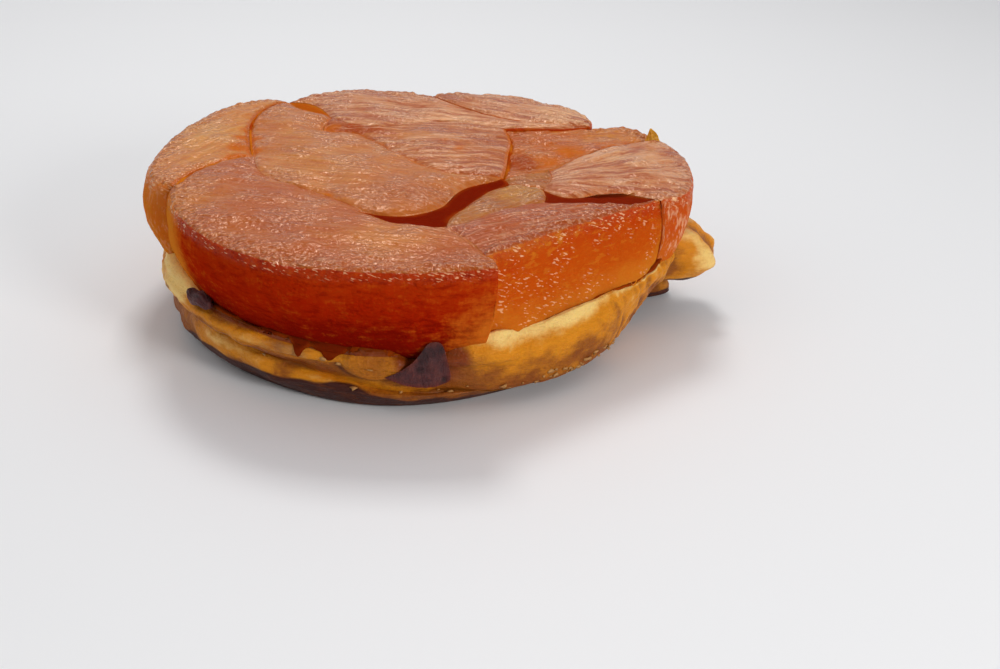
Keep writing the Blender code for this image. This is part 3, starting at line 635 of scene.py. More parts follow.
# Each slice runs between two tips, with a chain of seams along either side ("-" takes a seam
# backwards). Its grain is the direction of its fibres in degrees, or the point they fan from.
# Bright, dark and syrupy places in its flesh are (x, y, z, reach in plan, reach in height, strength).
# On the front slices' walls the bright places are partly painted glow of light through the apple,
# and the dark place low on the front-left wall is painted shade.
SLICE_USUAL = dict(slope=(0.0, 0.0), crown=0.8, wavy=0.38, streaks=0.16, beads=0.2, dip=1.0, held=None,
                   bright=(), dark=(), syrup=())
SLICES = {
    "apple_front_left": dict(
        sides=("rim_front", "left_front front_centre pool_front front_right front_corner"),
        height=34.1, slope=(0.01, 0.03), grain=-12.0, held=dict(bearing=276.0, centre=(-10.0, 0.0)),
        # The bright places at 25 and 19 mm high lie on the wall and are partly painted glow of light through
        # the apple.
        bright=((0, -46, 34, 9, 5, 0.9), (8, -33, 34, 6, 5, 0.5), (-46, -27, 25, 10, 12, 1.9),
                (22, -52, 19, 11, 12, 0.9)),
        # The dark place at 17 mm high is painted shade low on the wall.
        dark=((-15, -57, 34, 14, 2.5, 0.3), (0, -58, 17, 26, 5.5, 0.9), (14, -53, 34, 7, 3, 0.5)),
        syrup=((-12, -23, 34, 1.6, 4, 0.7),)),
    "apple_left": dict(
        sides=("rim_left", "left_front left_centre"), height=34.4, slope=(0.01, 0.01), grain=60.0,
        bright=((-46, 16, 34, 9, 5, 0.6), (-54, -6, 24, 7, 8, 0.4)),
        syrup=((-38, 0, 34, 3.4, 4, 0.9), (-38.4, 7, 34, 3.4, 4, 1.0), (-39.4, 14, 34, 3.0, 4, 0.9),
               (-40, 21, 34, 2.4, 4, 0.6), (-46.5, -17, 26, 3, 12, 0.8))),
    "apple_centre": dict(
        sides=("-left_centre front_centre pool_centre", "wedge_centre centre_mid"),
        height=34.2, slope=(0.0, 0.01), crown=1.2, grain=-15.0, streaks=0.16,
        bright=((-16, 2, 34, 14, 5, 0.4),), dark=((4, -20, 34, 12, 4, 0.5),),
        syrup=((-15, -21.8, 34, 1.8, 4, 0.9), (-35, 6, 34, 2.6, 4, 0.9), (-36, 14, 34, 2.4, 4, 0.9))),
    "apple_middle": dict(
        sides=("centre_mid", "mid_back mid_sunken"),
        height=34.3, slope=(-0.01, 0.0), crown=0.9, grain=4.0, streaks=0.2,
        bright=((4, 18, 34, 14, 5, 0.6),), dark=((-15, 24, 34, 4.2, 4, 1.4), (-9, 24, 34, 3.0, 4, 1.0)),
        syrup=((-19, 25, 34, 2.4, 4, 0.7), (12, 12, 34, 1.8, 4, 0.8), (8, 17, 34, 1.6, 4, 0.6))),
    "apple_back": dict(
        sides=("-rim_back back_far", "wedge_back mid_back back_sunken"), height=34.7, grain=-6.0, streaks=0.18,
        bright=((6, 34, 34, 7, 4, 0.5),), dark=((-5, 45, 34, 14, 4, 0.4),)),
    "apple_far_right": dict(
        sides=("-rim_far", "back_far"), height=34.9, grain=-25.0, streaks=0.14,
        bright=((38, 42, 35, 7, 4, 0.9),), dark=((12, 52, 34, 9, 4, 0.4),)),
    "apple_sunken": dict(
        sides=("back_sunken -rim_sunken", "mid_sunken chip_sunken fan_sunken"),
        height=33.6, slope=(0.02, 0.02), crown=0.4, grain=20.0, wavy=0.7, beads=0.35,
        bright=((50, 30, 33, 7, 4, 0.6),), dark=((26, 7.5, 33, 5.0, 4, 1.4), (26, 24, 33, 3, 4, 0.7)),
        syrup=((33, 10, 33, 4.5, 4, 0.9), (38, 16, 33, 5, 4, 0.9), (46, 22, 33, 4, 4, 0.7),
               (27, 16, 33, 3, 4, 0.4))),
    "apple_fan": dict(
        sides=("rim_fan", "-trough_fan -chip_fan fan_sunken"),
        height=34.2, slope=(0.0, 0.02), grain=(26.0, -7.0), streaks=0.28, wavy=0.3,
        bright=((50, 12, 34, 9, 4, 0.5),), dark=((58, -8, 30, 6, 5, 0.4),)),
    "apple_front_right": dict(
        sides=("front_right rim_right", "sliver_right trough_right"),
        height=34.4, crown=0.6, grain=32.0, streaks=0.2, beads=0.3,
        # Its bright place at 17 mm high is painted glow of light through the wall above the pastry.
        bright=((40, -36, 17, 16, 5, 0.9),), dark=((28, -42, 33, 16, 2.5, 0.5), (24, -40, 34, 6, 3, 0.4))),
    "apple_sliver": dict(
        sides=("sliver_right sliver_trough", "pool_sliver sliver_chip"),
        height=34.0, crown=0.4, grain=45.0, beads=0.3, bright=((26, -14, 33, 6, 4, 1.0),)),
    "apple_chip": dict(
        sides=("chip_sunken chip_fan", "pool_end sliver_chip"), height=34.1, crown=0.3, grain=10.0),
    "caramel_front": dict(
        sides=("pool_front pool_sliver", "pool_centre pool_end"),
        height=33.4, crown=-0.2, grain=0.0, wavy=0.25, streaks=0.0, beads=0.1, dip=-0.5),
    "caramel_right": dict(
        sides=("trough_right", "sliver_trough trough_fan"),
        height=33.4, crown=-0.2, grain=0.0, wavy=0.35, streaks=0.0, beads=0.3, dip=-0.5),
    "caramel_back": dict(
        sides=("wedge_centre", "wedge_back"),
        height=34.3, crown=0.2, grain=0.0, wavy=0.25, streaks=0.0, beads=0.1, dip=0.3),
}
SLICES = {name: {**SLICE_USUAL, **look} for name, look in SLICES.items()}


def spline(points):
    """Catmull-Rom curve through open points, as a dense polyline."""
    p = np.asarray(points, float)
    p = np.vstack([2 * p[0] - p[1], p, 2 * p[-1] - p[-2]])
    part = np.linspace(0, 1, SPLINE_STEPS, endpoint=False)[:, None]
    runs = [through(*near, part) for near in zip(p[:-3], p[1:-2], p[2:-1], p[3:])]
    return np.vstack(runs + [p[-2:-1]])


def chain(names):
    """Several seams end to end as one polyline; "-" takes a seam backwards."""
    lines = [spline(SEAMS[name.lstrip("-")])[::-1 if name[0] == "-" else 1] for name in names.split()]
    return np.vstack([lines[0]] + [line[1:] for line in lines[1:]])


def reach_along(line):
    """Distance from a polyline's start to each of its points."""
    return np.concatenate([[0], np.cumsum(np.linalg.norm(np.diff(line, axis=0), axis=1))])


def along(line, fractions):
    """Points at fractions of a polyline's length."""
    reach = reach_along(line)
    return np.stack([np.interp(fractions, reach / reach[-1], line[:, k]) for k in (0, 1)], -1)


def crowded(count, crowding):
    """Fractions from 0 to 1 that crowd towards both ends: even ones mixed with a half cosine."""
    even = np.linspace(0, 1, count + 1)
    return (1 - crowding) * even + crowding * (0.5 - 0.5 * np.cos(math.pi * even))


def distance_to(points, line):
    """Distance in plan from each point to the nearest place on a polyline."""
    start, step = line[:-1], np.diff(line, axis=0)
    offset = points[:, None] - start[None]
    share = np.clip((offset * step).sum(-1) / (step ** 2).sum(-1), 0, 1)
    return np.linalg.norm(offset - share[..., None] * step, axis=-1).min(1)


def quarter_round(distance, radius):
    """How far a quarter-round edge has dropped at a distance in from it."""
    near = np.clip(1 - distance / radius, 0, 1)
    return radius * (1 - np.sqrt(1 - near ** 2))


def lean(x, y, depth, held=None):
    """Moves points of the apple layer out or in as they go down, most at its outer wall.

    The shift is the wall's lean times the depth squared, plus its bulge times 4d(1 - d). A slice
    that stands proud at its end is held: it keeps one bearing's lean and a centre of its own.
    """
    radius, bearing = np.hypot(x, y), np.arctan2(y, x) % math.tau
    centre_x, centre_y = held["centre"] if held else (0.0, 0.0)
    if held:
        bearing = np.minimum(bearing, math.radians(held["bearing"]))
    shift = around(WALL_LEAN, bearing) * depth ** 2 + around(WALL_BULGE, bearing) * 4 * depth * (1 - depth)
    scale = smooth(radius, LEAN_START, LEAN_FULL) * shift / np.hypot(x - centre_x, y - centre_y)
    return x + (x - centre_x) * scale, y + (y - centre_y) * scale


def slice_plan(sides):
    """Grid of points between a slice's two sides, in steps of about the skin's, closer at edges."""
    even = np.linspace(0, 1, 400)
    lines = [chain(side) for side in sides]
    width = np.linalg.norm(along(lines[1], even) - along(lines[0], even), axis=1)
    first, last = even[width > 2 * SEAM_GAP + TIP_WIDTH][[0, -1]]
    length = max(reach_along(line)[-1] for line in lines)
    rows = int(length / SKIN_STEP)
    columns = int(max(np.percentile(width, 80) / SKIN_STEP, FEWEST_COLUMNS))
    fractions = first + (last - first) * crowded(rows, ROW_CROWDING)
    one, two = (along(line, fractions) for line in lines)
    grid = one[:, None] + (two - one)[:, None] * crowded(columns, COLUMN_CROWDING)[None, :, None]
    down, across = grid[-1, 0] - grid[0, 0], (grid[:, -1] - grid[:, 0]).mean(0)
    return grid if down[0] * across[1] > down[1] * across[0] else grid[:, ::-1]


def seams_of(name):
    """Names of the seams round a slice."""
    return " ".join(SLICES[name]["sides"]).replace("-", "").split()


def raw_top(name, plan):
    """A slice's upper face before its edges are rounded: a sloping plane, level at its middle."""
    look = SLICES[name]
    middle = np.vstack([chain(side) for side in look["sides"]]).mean(0)
    return look["height"] + (plan - middle) @ np.asarray(look["slope"])


def tops_at(seam, plan):
    """Heights at some points of the upper faces of the slices that a seam parts."""
    return [raw_top(name, plan) for name in SLICES if seam in seams_of(name)]


def grain_of(plan, grain):
    """Coordinates along and across a slice's fibres: straight at an angle, or a fan from a point."""
    if isinstance(grain, tuple):
        away = plan - np.asarray(grain)
        reach = np.hypot(*away.T)
        return reach, np.arctan2(away[:, 1], away[:, 0]) * FAN_SPREAD
    turn = math.radians(grain)
    return plan @ (math.cos(turn), math.sin(turn)), plan @ (-math.sin(turn), math.cos(turn))


def tone(points, places):
    """How strongly some places tell at each point: the most of their bell curves."""
    shares = [strength * bell(points, (x, y, z), (reach, reach, high)).prod(1)
              for x, y, z, reach, high, strength in places]
    return np.max([np.zeros(len(points))] + shares, 0)


def add_slice(name, material):
    """One slice: its upper face, its wall in rows down to the pastry, and its relief.

    The upper face is its plane plus a crown that fades towards the edges, drawn level with its
    neighbours along its seams, less a dip at each seam and the drop of a quarter round at each
    rim. The relief is soft lumps, streaks along the fibres on top, and small beads of glaze by
    the rim, laid on along the normals.
    """
    look = SLICES[name]
    grid = slice_plan(look["sides"])
    rows, columns = grid.shape[:2]
    plan = grid.reshape(-1, 2)
    gaps = {n: distance_to(plan, chain(n)) for n in seams_of(name)}
    seams = {n: gap for n, gap in gaps.items() if not n.startswith("rim")}
    rim = np.min([np.full(len(plan), FAR)] + [gaps[n] for n in gaps if n not in seams], 0)
    seam = np.min(list(seams.values()), 0)
    raw = raw_top(name, plan)
    pull = {n: bell(gap, 0, SEAM_REACH) * (n not in STEPS) for n, gap in seams.items()}
    drawn = sum((np.mean(tops_at(n, plan), 0) - raw) * share for n, share in pull.items())
    top = raw + drawn / np.maximum(sum(pull.values()), 1)
    top = top + look["crown"] * (1 - np.exp(-np.minimum(rim, seam) / CROWN_REACH))
    dip, tells = (np.max([SEAM_LOOKS.get(n, SEAM_LOOK_USUAL)[part] * bell(gap, 0, reach)
                          for n, gap in seams.items()], 0)
                  for part, reach in ((0, SEAM_ROUND), (1, SYRUP_REACH)))
    top -= np.maximum(quarter_round(rim, RIM_ROUND), look["dip"] * dip)
    foot = pastry_height(*lean(*plan.T, np.ones(len(plan)), look["held"])) - WALL_SINK

    ids = np.arange(rows * columns).reshape(rows, columns)
    edge = np.concatenate([ids[:-1, 0], ids[-1, :-1], ids[:0:-1, -1], ids[0, :0:-1]])

    def carried(values):
        """Values of the upper face, then those at its edge again for each row of the wall."""
        return np.concatenate([values] + [values[edge]] * WALL_ROWS)

    step = np.linspace(0, 1, WALL_ROWS + 1)[1:, None]
    level = top[edge] + (foot[edge] - top[edge]) * step
    depth = np.concatenate([(top.max() - top) / (top.max() - foot),
                            ((top.max() - level) / (top.max() - foot[edge])).ravel()])
    flat = carried(plan)
    points = np.stack([*lean(*flat.T, depth, look["held"]), np.concatenate([top, level.ravel()])], -1)
    lower = ids.size + np.arange(WALL_ROWS * len(edge)).reshape(WALL_ROWS, -1)
    wall = np.vstack([edge, lower])
    wall = np.hstack([wall, wall[:, :1]])
    faces = np.vstack([quads(ids.T), quads(wall.T)])

    normal = outward(points, faces)
    below = np.concatenate([np.zeros(len(plan)), (top[edge] - level).ravel()])
    rim = carried(rim) + below
    near_rim = bell(rim + 1.6 * below, 0, RIM_REACH)
    fibre = np.column_stack([*grain_of(flat, look["grain"]), points[:, 2]]) * FIBRE_SHAPE
    open_top = smooth(normal[:, 2], 0.5, 0.9)
    relief = (look["wavy"] * (lumps(points, 7, 11) + 0.4 * lumps(points, 2.6, 12))
              + open_top * look["streaks"] * (lumps(fibre, 1.1, 13) + 0.6 * lumps(fibre, 2.4, 14))
              + (0.25 + near_rim) * look["beads"] * (lumps(points, 0.95, 15) + 0.5 * lumps(points, 1.7, 16)))
    inner = smooth(np.minimum(rim, carried(seam)), 0.0, 0.5) * 0.8 + 0.2
    points += normal * (relief * inner)[:, None]
    marks = {"place": np.stack([near_rim, carried(tells), np.clip(depth, 0, 1) * (1 - open_top)], -1),
             "tone": np.stack([tone(points, look[kind]) for kind in ("bright", "dark", "syrup")], -1),
             "fibre": fibre * MM}
    all_faces = faces.tolist() + [lower[-1][::-1].tolist()]
    make_piece(name + "_flesh", points, all_faces, marks, material, [name])


SYRUP = (0.56, 0.12, 0.006)
# Pale sheen painted into the colour where the glaze would reflect light.
PAINTED_SHEEN = (0.74, 0.38, 0.21)
SHADOW_RED = (0.36, 0.055, 0.006)
# Amber painted where light glows through the apple at its bright places.
PAINTED_AMBER_GLOW = (0.62, 0.17, 0.014)
# Bright glint colour painted into the glaze at its shining dashes.
PAINTED_GLINT = (0.94, 0.52, 0.26)
GLAZE_TINT = (1.0, 0.66, 0.42, 1.0)
DASH_AXIS = (0.6, -0.8, 0.0)
DASH_TILT = 0.32
# Wall colours from rim to foot: the red walls darken to the foot, which is painted shade; the orange walls
# lighten to the foot, which is painted glow of light through the apple.
RED_WALLS = ((0.42, 0.030, 0.002), (0.37, 0.014, 0.001), (0.22, 0.005, 0.001))
ORANGE_WALLS = ((0.50, 0.045, 0.004), (0.54, 0.075, 0.004), (0.62, 0.17, 0.012))


def glazed(material, shader, mask, bump, body, roughness):
    """Lays clear wet glaze over a shader where the mask is 1: the same colour, but shining."""
    nodes, links = material.node_tree.nodes, material.node_tree.links
    glaze = nodes.new("ShaderNodeBsdfPrincipled")
    glaze.inputs["Specular Tint"].default_value = GLAZE_TINT
    plug(glaze, Base_Color=body, Roughness=roughness, Normal=bump)
    both = nodes.new("ShaderNodeMixShader")
    for end, source in enumerate((mask.socket, shader.outputs[0], glaze.outputs[0])):
        links.new(source, both.inputs[end])
    links.new(both.outputs[0], nodes["Material Output"].inputs["Surface"])


def apple_material(name, flesh, bright, walls=ORANGE_WALLS, streaky=0.2, glinting=0.25, wall_sheen=0.0,
                   glow=(0.60, 0.13, 0.010)):
    """Caramelised apple: cloudy flesh streaked along its fibres, deep glassy walls, wet glaze.

    The walls' three colours lie from the rim to the foot; where they darken to the foot that is
    painted shade, and where they lighten it is painted glow of light through the apple, as is
    the glow colour. The glaze covers the upper face in a fine knitted relief, coarser towards
    the rim, and hangs on the walls in beads below it. Pale sheen in streaks and specks is
    painted reflection, and the bright dashes of the glaze are painted glints.
    """
    material, tree, shader = new_material(
        name, Specular_IOR_Level=0.0, Subsurface_Weight=0.3,
        Subsurface_Radius=(0.003, 0.0008, 0.0003), Subsurface_Scale=1.0)
    place = tree.add("TexCoord", {}, {}, "Object")
    fibre = tree.mark("fibre")
    rim, seam, down = tree.mark("place").parts()
    light, dark, syrup = tree.mark("tone").parts()
    cloud = place.noise(75, 3, 0.6)
    blotch = place.noise(230, 3, 0.6)
    streak = fibre.noise(700, 3, 0.6)
    knit = fibre.scaled(4.0, 1, 1).noise(950, 1, 0.45, 0.4)
    pits = place.scaled(1, 1, 1.4).noise(1150, 1, 0.4)
    dashes = place.turned(DASH_AXIS, DASH_TILT).scaled(0.36, 0.36, 1.2).noise(2100, 1, 0.5)
    grain = place.noise(2000, 3, 0.7)
    hair = place.scaled(1, 1, 0.28).noise(1500, 3, 0.6)
    drift = place.scaled(0.5, 0.5, 1.3).noise(620, 4, 0.65)
    upright = down.over(0.01, 0.06)
    patchy = place.noise(120, 2).over(0.4, 0.65)
    coarse = (rim * 0.8 + patchy * 0.4 + 0.2).over(0.0, 1.0)

    top = (cloud * 0.6 + blotch * 0.5 + light * 0.6 + (streak - 0.5) * 0.5).over(0.4, 1.1).blend(flesh, bright)
    top = (dark + (streak - 0.5) * 0.8 + (blotch - 0.5) * 0.5).over(0.1, 1.0).blend(top, SHADOW_RED)
    top = ((1 - streak).over(0.5, 0.62) * streaky).blend(top, SHADOW_RED)
    # Painted sheen along the streaks, where the fibres' ridges would reflect light.
    top = (streak.over(0.53, 0.62) * streaky * 0.7).blend(top, PAINTED_SHEEN)
    # Fine specks of painted shade and painted sheen, thicker towards the rim.
    top = ((1 - pits).over(0.48, 0.62) * coarse * 0.5).blend(top, SHADOW_RED)
    top = ((pits + (grain - 0.5) * 0.4).over(0.54, 0.66) * coarse * 0.4).blend(top, PAINTED_SHEEN)
    # Walls from rim to foot: painted shade where they darken, painted glow where they lighten.
    upper, middle, foot = walls
    depth = down + (cloud - 0.5) * 0.6 + (blotch - 0.5) * 0.25
    side = depth.over(0.08, 0.5).blend(upper, middle)
    side = depth.over(0.5, 0.95).blend(side, foot)
    # Dark places and drifts take the foot colour: painted shade on the red walls, painted glow on the orange
    # ones.
    side = (dark * 0.8 + (1 - drift).over(0.48, 0.66) * 0.5).over(0.0, 1.0).blend(side, foot)
    # The walls lighten into the glow colour in mottled patches of the flesh, and at the bright places this is
    # painted glow of light through the apple.
    lit = light * 0.8 + 0.1 + (blotch - 0.5) * 0.8 + (hair - 0.5) * 0.8 + (drift - 0.5) * 1.8
    side = lit.over(0.1, 1.1).blend(side, glow)
    # Painted amber glow at the strongest bright places.
    side = (light + (cloud - 0.5) * 0.6 + (blotch - 0.5) * 0.3).over(0.2, 1.3).blend(side, PAINTED_AMBER_GLOW)
    # Painted sheen in upright streaks on the walls.
    side = ((hair + (blotch - 0.5) * 0.5).over(0.48, 0.68) * wall_sheen).blend(side, PAINTED_SHEEN)
    body = upright.blend(top, side)
    body = (seam + syrup + (blotch - 0.5) * 0.9 + (grain - 0.5) * 0.4).over(0.25, 0.8).blend(body, SYRUP)

    height = ((knit - 0.5) * (1 - upright * 0.8) + pits * 0.7) * (0.35 + coarse)
    bump = (height + streak * (0.2 + streaky * 0.8) + grain * 0.06).bump(0.6)
    # Wet places on the walls shine, and in rows of short dashes the glaze's colour is a painted glint.
    wet = (place.noise(130, 2).over(0.42, 0.58) * glinting + rim * 0.7).over(0.0, 1.0) * upright
    glint = (dashes + (blotch - 0.5) * 0.4 + wet * 0.04).over(0.62, 0.72) * wet
    clear = (dark + syrup).over(0.0, 1.0)
    gloss = ((1 - upright) * (0.6 + patchy * 0.4) * (1 - clear * 0.6) + rim * 0.4 + glint).over(0.0, 1.0)
    plug(shader, Base_Color=body, Roughness=0.42 + (grain - 0.5) * 0.2, Normal=bump)
    # The glaze's colour is the body, lightened to a painted glint at the dashes.
    glazed(material, shader, gloss, bump, (glint * 0.7).blend(body, PAINTED_GLINT), 0.10 + grain * 0.2)
    return material


# Each slice's flesh and wall colours; the glow colour is painted glow of light through the walls.
FLESH = {
    "apple_front_left": dict(flesh=(0.45, 0.090, 0.010), bright=(0.56, 0.165, 0.020), walls=RED_WALLS,
                             streaky=0.15, glinting=0.0, glow=(0.56, 0.095, 0.006)),
    "apple_left": dict(flesh=(0.58, 0.18, 0.028), bright=(0.66, 0.28, 0.055), glinting=0.4, wall_sheen=0.4,
                       walls=((0.64, 0.17, 0.03), (0.62, 0.15, 0.012), (0.62, 0.19, 0.012))),
    "apple_centre": dict(flesh=(0.52, 0.14, 0.022), bright=(0.62, 0.23, 0.04)),
    "apple_middle": dict(flesh=(0.43, 0.095, 0.018), bright=(0.59, 0.20, 0.042), streaky=0.8),
    "apple_back": dict(flesh=(0.56, 0.20, 0.075), bright=(0.78, 0.40, 0.18), streaky=0.75),
    "apple_sunken": dict(flesh=(0.50, 0.10, 0.006), bright=(0.60, 0.20, 0.016), streaky=0.3, glinting=0.7),
    "apple_fan": dict(flesh=(0.53, 0.17, 0.060), bright=(0.76, 0.38, 0.17), streaky=0.8, glinting=0.4,
                      wall_sheen=0.75, walls=((0.52, 0.07, 0.010), (0.56, 0.08, 0.010), (0.60, 0.12, 0.012))),
    "apple_front_right": dict(flesh=(0.42, 0.072, 0.008), bright=(0.52, 0.13, 0.018), streaky=0.45,
                              glinting=0.75),
    "apple_sliver": dict(flesh=(0.38, 0.095, 0.008), bright=(0.50, 0.19, 0.014), glinting=0.9),
}
flesh = {name: apple_material(name, **look) for name, look in FLESH.items()}
flesh.update(apple_far_right=flesh["apple_back"], apple_chip=flesh["apple_sliver"])
for name, material in flesh.items():
    add_slice(name, material)

# ----------------------------------------
# Caramel pools. Deep-red set syrup in the hollows between slices: the same grid as a slice,
# smoother, and a little hollow where it climbs its edges.
# ----------------------------------------


def caramel_material(name, thin, deep):
    """Set syrup: deep in its middle, lighter at its edges, with soft ripples."""
    material, tree, shader = new_material(
        name, Roughness=0.22, Specular_IOR_Level=0.0, Subsurface_Weight=0.2,
        Subsurface_Radius=(0.004, 0.0006, 0.0002), Subsurface_Scale=1.0)
    place = tree.add("TexCoord", {}, {}, "Object")
    rim, seam, _ = tree.mark("place").parts()
    cloud = place.noise(160, 3, 0.6)
    base = (seam + rim * 0.5 + (cloud - 0.5) * 0.9).over(0.1, 0.9).blend(deep, thin)
    plug(shader, Base_Color=base, Normal=place.noise(520, 3).bump(0.6, 0.6))
    return material


POOLS = {"caramel_front": ((0.37, 0.048, 0.003), (0.185, 0.010, 0.002)),
         "caramel_right": ((0.39, 0.066, 0.005), (0.20, 0.014, 0.003)),
         "caramel_back": ((0.56, 0.15, 0.012), (0.46, 0.09, 0.006))}
for name, colours in POOLS.items():
    add_slice(name, caramel_material(name, *colours))

# ----------------------------------------
# Syrup in the seams. Set caramel fills the joints between slices, on top and down the notches
# of the outer wall. Each is a soft round bead carried along its seam, and all are one piece.
# ----------------------------------------

# Half widths of the beads: along seams by name, and down the rim's notches by place.
SEAM_BEADS = {"left_front": 0.7, "left_centre": 0.35, "mid_sunken": 0.7, "chip_sunken": 0.5, "fan_sunken": 0.7}
NOTCHES = {(-47.5, -19.0): 1.9, (-33.0, 45.5): 2.2, (3.0, 56.0): 1.8, (43.5, 34.5): 2.4, (59.5, 27.0): 1.6}
BEAD_SIDES = 12
BEAD_STEP = 0.4
BEAD_SUNK = 0.5
SEAM_BEAD_DEPTH = 0.5
NOTCH_BEAD_DEPTH = 0.9
NOTCH_STEPS = 70
NOTCH_TOP = 33.2
NOTCH_INSET = 0.985


def bead(path, aside, outwards, half_width, half_depth):
    """Closed bead round a path: an ellipse at each point, closing to nothing at both ends.

    A point is the path's, plus the sideways direction by the half width times the cosine of its
    turn, plus the outward direction by the half depth times the sine.
    """
    share = np.linspace(0, 1, len(path))
    taper = np.sqrt(np.clip(np.minimum(share, 1 - share) * 8, 0, 1))[:, None, None]
    turn = turns(BEAD_SIDES)[None, :, None]
    points = (path[:, None] + aside[:, None] * half_width * taper * np.cos(turn)
              + outwards[:, None] * half_depth * taper * np.sin(turn))
    return points.reshape(-1, 3), grid_faces(len(path), BEAD_SIDES)


def seam_bead(seam, half_width):
    """Bead along a seam, just under the level at which its slices meet."""
    line = spline(SEAMS[seam])
    flat = along(line, np.linspace(0, 1, int(reach_along(line)[-1] / BEAD_STEP)))
    path = np.column_stack([flat, np.min(tops_at(seam, flat), 0) - BEAD_SUNK])
    way = np.gradient(flat, axis=0)
    way /= np.linalg.norm(way, axis=1, keepdims=True)
    aside = np.column_stack([-way[:, 1], way[:, 0], np.zeros(len(way))])
    uneven = half_width * (1 + 0.45 * lumps(path, 3.0, 21))[:, None, None]
    return bead(path, aside, np.tile([0.0, 0.0, 1.0], (len(path), 1)), uneven, SEAM_BEAD_DEPTH)


def notch_bead(place, half_width):
    """Bead down a notch in the rim: along the leaning wall to the pastry."""
    depth = np.linspace(0.05, 1, NOTCH_STEPS)
    x, y = lean(*(np.full(NOTCH_STEPS, value * NOTCH_INSET) for value in place), depth)
    path = np.stack([x, y, NOTCH_TOP + (pastry_height(x, y) - NOTCH_TOP) * depth], -1)
    away = np.array([*place, 0.0]) / math.hypot(*place)
    aside, outwards = (np.tile(way, (NOTCH_STEPS, 1)) for way in ([-away[1], away[0], 0.0], away))
    uneven = half_width * (0.75 + 0.35 * depth + 0.25 * lumps(path, 4.0, 22))[:, None, None]
    return bead(path, aside, outwards, uneven, NOTCH_BEAD_DEPTH)


def add_beads(beads):
    """Joins beads of points and faces into one piece, made a little uneven."""
    starts = np.cumsum([0] + [len(points) for points, _ in beads])
    points = np.vstack([points for points, _ in beads])
    faces = np.vstack([faces + start for (_, faces), start in zip(beads, starts)])
    points = points + outward(points, faces) * 0.12 * lumps(points, 1.3, 23)[:, None]
    marks = (0.5 + 0.5 * lumps(points, 5, 24))[:, None] * (0, 1, 0)
    syrup = caramel_material("seam_syrup", (0.60, 0.15, 0.008), (0.38, 0.045, 0.003))
    make_piece("seam_syrup", points, faces.tolist(), {"place": marks}, syrup)


add_beads([seam_bead(*item) for item in SEAM_BEADS.items()] + [notch_bead(*item) for item in NOTCHES.items()])

# ----------------------------------------
# Syrup skirt. Dark caramel that ran down the wall lies in the corner between the apples and the
# pastry's lip, and drips over it in places. It is a skin that follows the pastry's own surface.
# ----------------------------------------

SKIRT_START = 12.9
SKIRT_EDGE = 11.2
SKIRT_CLIMB = 2.0

# Where the edge stays nearer the wall: bearing, half width, and how far in rings.
THIN_SKIRT = (309, 27)
SKIRT_RISES = ((205.0, 24, 1.3), (232, 20, 0.8), (*THIN_SKIRT, 0.8))

# Drips over the lip: bearing, half width in degrees, and length in rings.
DRIPS = ((253.0, 1.7, 2.9), (259.5, 3.0, 2.4), (245.0, 1.8, 1.2),
         (66.0, 2.2, 2.6), (118.0, 2.8, 2.2), (152.0, 1.8, 3.0), (176.0, 2.4, 1.4), (30.0, 2.0, 1.6))

SKIRT_ROWS = 16
SKIRT_COLUMNS = 1200
SKIRT_RADIUS = 55.0
SKIRT_THICKNESS = 0.5
SKIRT_SINK = 0.5
SKIRT_FILM = 0.12


def add_skirt():
    """The skirt's skin: out over the pastry to its edge and back just inside it.

    Down the grid the place runs from the skirt's start to its edge in rings; the edge lies lower
    at each drip by a bell curve. It stands off the pastry along the normals by a quarter ellipse.
    """
    bearing = turns(SKIRT_COLUMNS)
    edge = SKIRT_EDGE + 0.45 * lumps(polar(SKIRT_RADIUS, bearing, 0.0), 4.5, 31)
    for centre, half_width, rise in SKIRT_RISES:
        edge = edge + rise * hump(bearing, centre, half_width)
    dripping = 0 * bearing
    for centre, wide, length in DRIPS:
        drip = bell(off_bearing(bearing, centre), 0, wide)
        edge, dripping = edge - length * drip, np.maximum(dripping, drip)
    share = np.linspace(0, 1, SKIRT_ROWS)[:, None]
    place = SKIRT_START + (edge - SKIRT_START) * share
    base = pastry_surface(bearing, place)
    rows, columns = base.shape[:2]
    faces = grid_faces(rows, columns)
    flat = base[::-1].reshape(-1, 3)
    raised = laid_on(flat, outward(flat, faces), place[::-1].ravel())[0]
    normal = outward(raised, faces).reshape(rows, columns, 3)[::-1]
    base = raised.reshape(rows, columns, 3)[::-1]
    rise = SKIRT_CLIMB * (1 - share) ** 2 + SKIRT_THICKNESS * np.sqrt(np.clip(1 - share ** 4, 0, 1)) * share
    rise = (rise + SKIRT_FILM) * (1 + 0.35 * lumps(base, 2.5, 32)) * (1 - 0.8 * hump(bearing, *FAT_ROLL))
    upper, lower = base + normal * rise[..., None], base - normal * SKIRT_SINK
    points = np.concatenate([lower, upper[::-1]]).reshape(-1, 3)
    faces = grid_faces(2 * rows, columns, closed=True)
    thin = smooth(share, 0.5, 1.0) * (0.55 + 0.8 * hump(bearing, *THIN_SKIRT)) * (1 - 0.7 * dripping)
    marks = np.concatenate([thin, thin[::-1]]).reshape(-1, 1) * (0, 1, 0)
    syrup = caramel_material("syrup_skirt", (0.36, 0.058, 0.003), (0.16, 0.014, 0.002))
    make_piece("syrup_skirt", points, faces.tolist(), {"place": marks}, syrup)


add_skirt()

# ----------------------------------------
# Scraps of peel. Two bits of dark skin cooked until leathery: a curled three-cornered flake
# stuck to the rolled edge at the front, and a shrivelled scrap by the wall at the left.
# ----------------------------------------

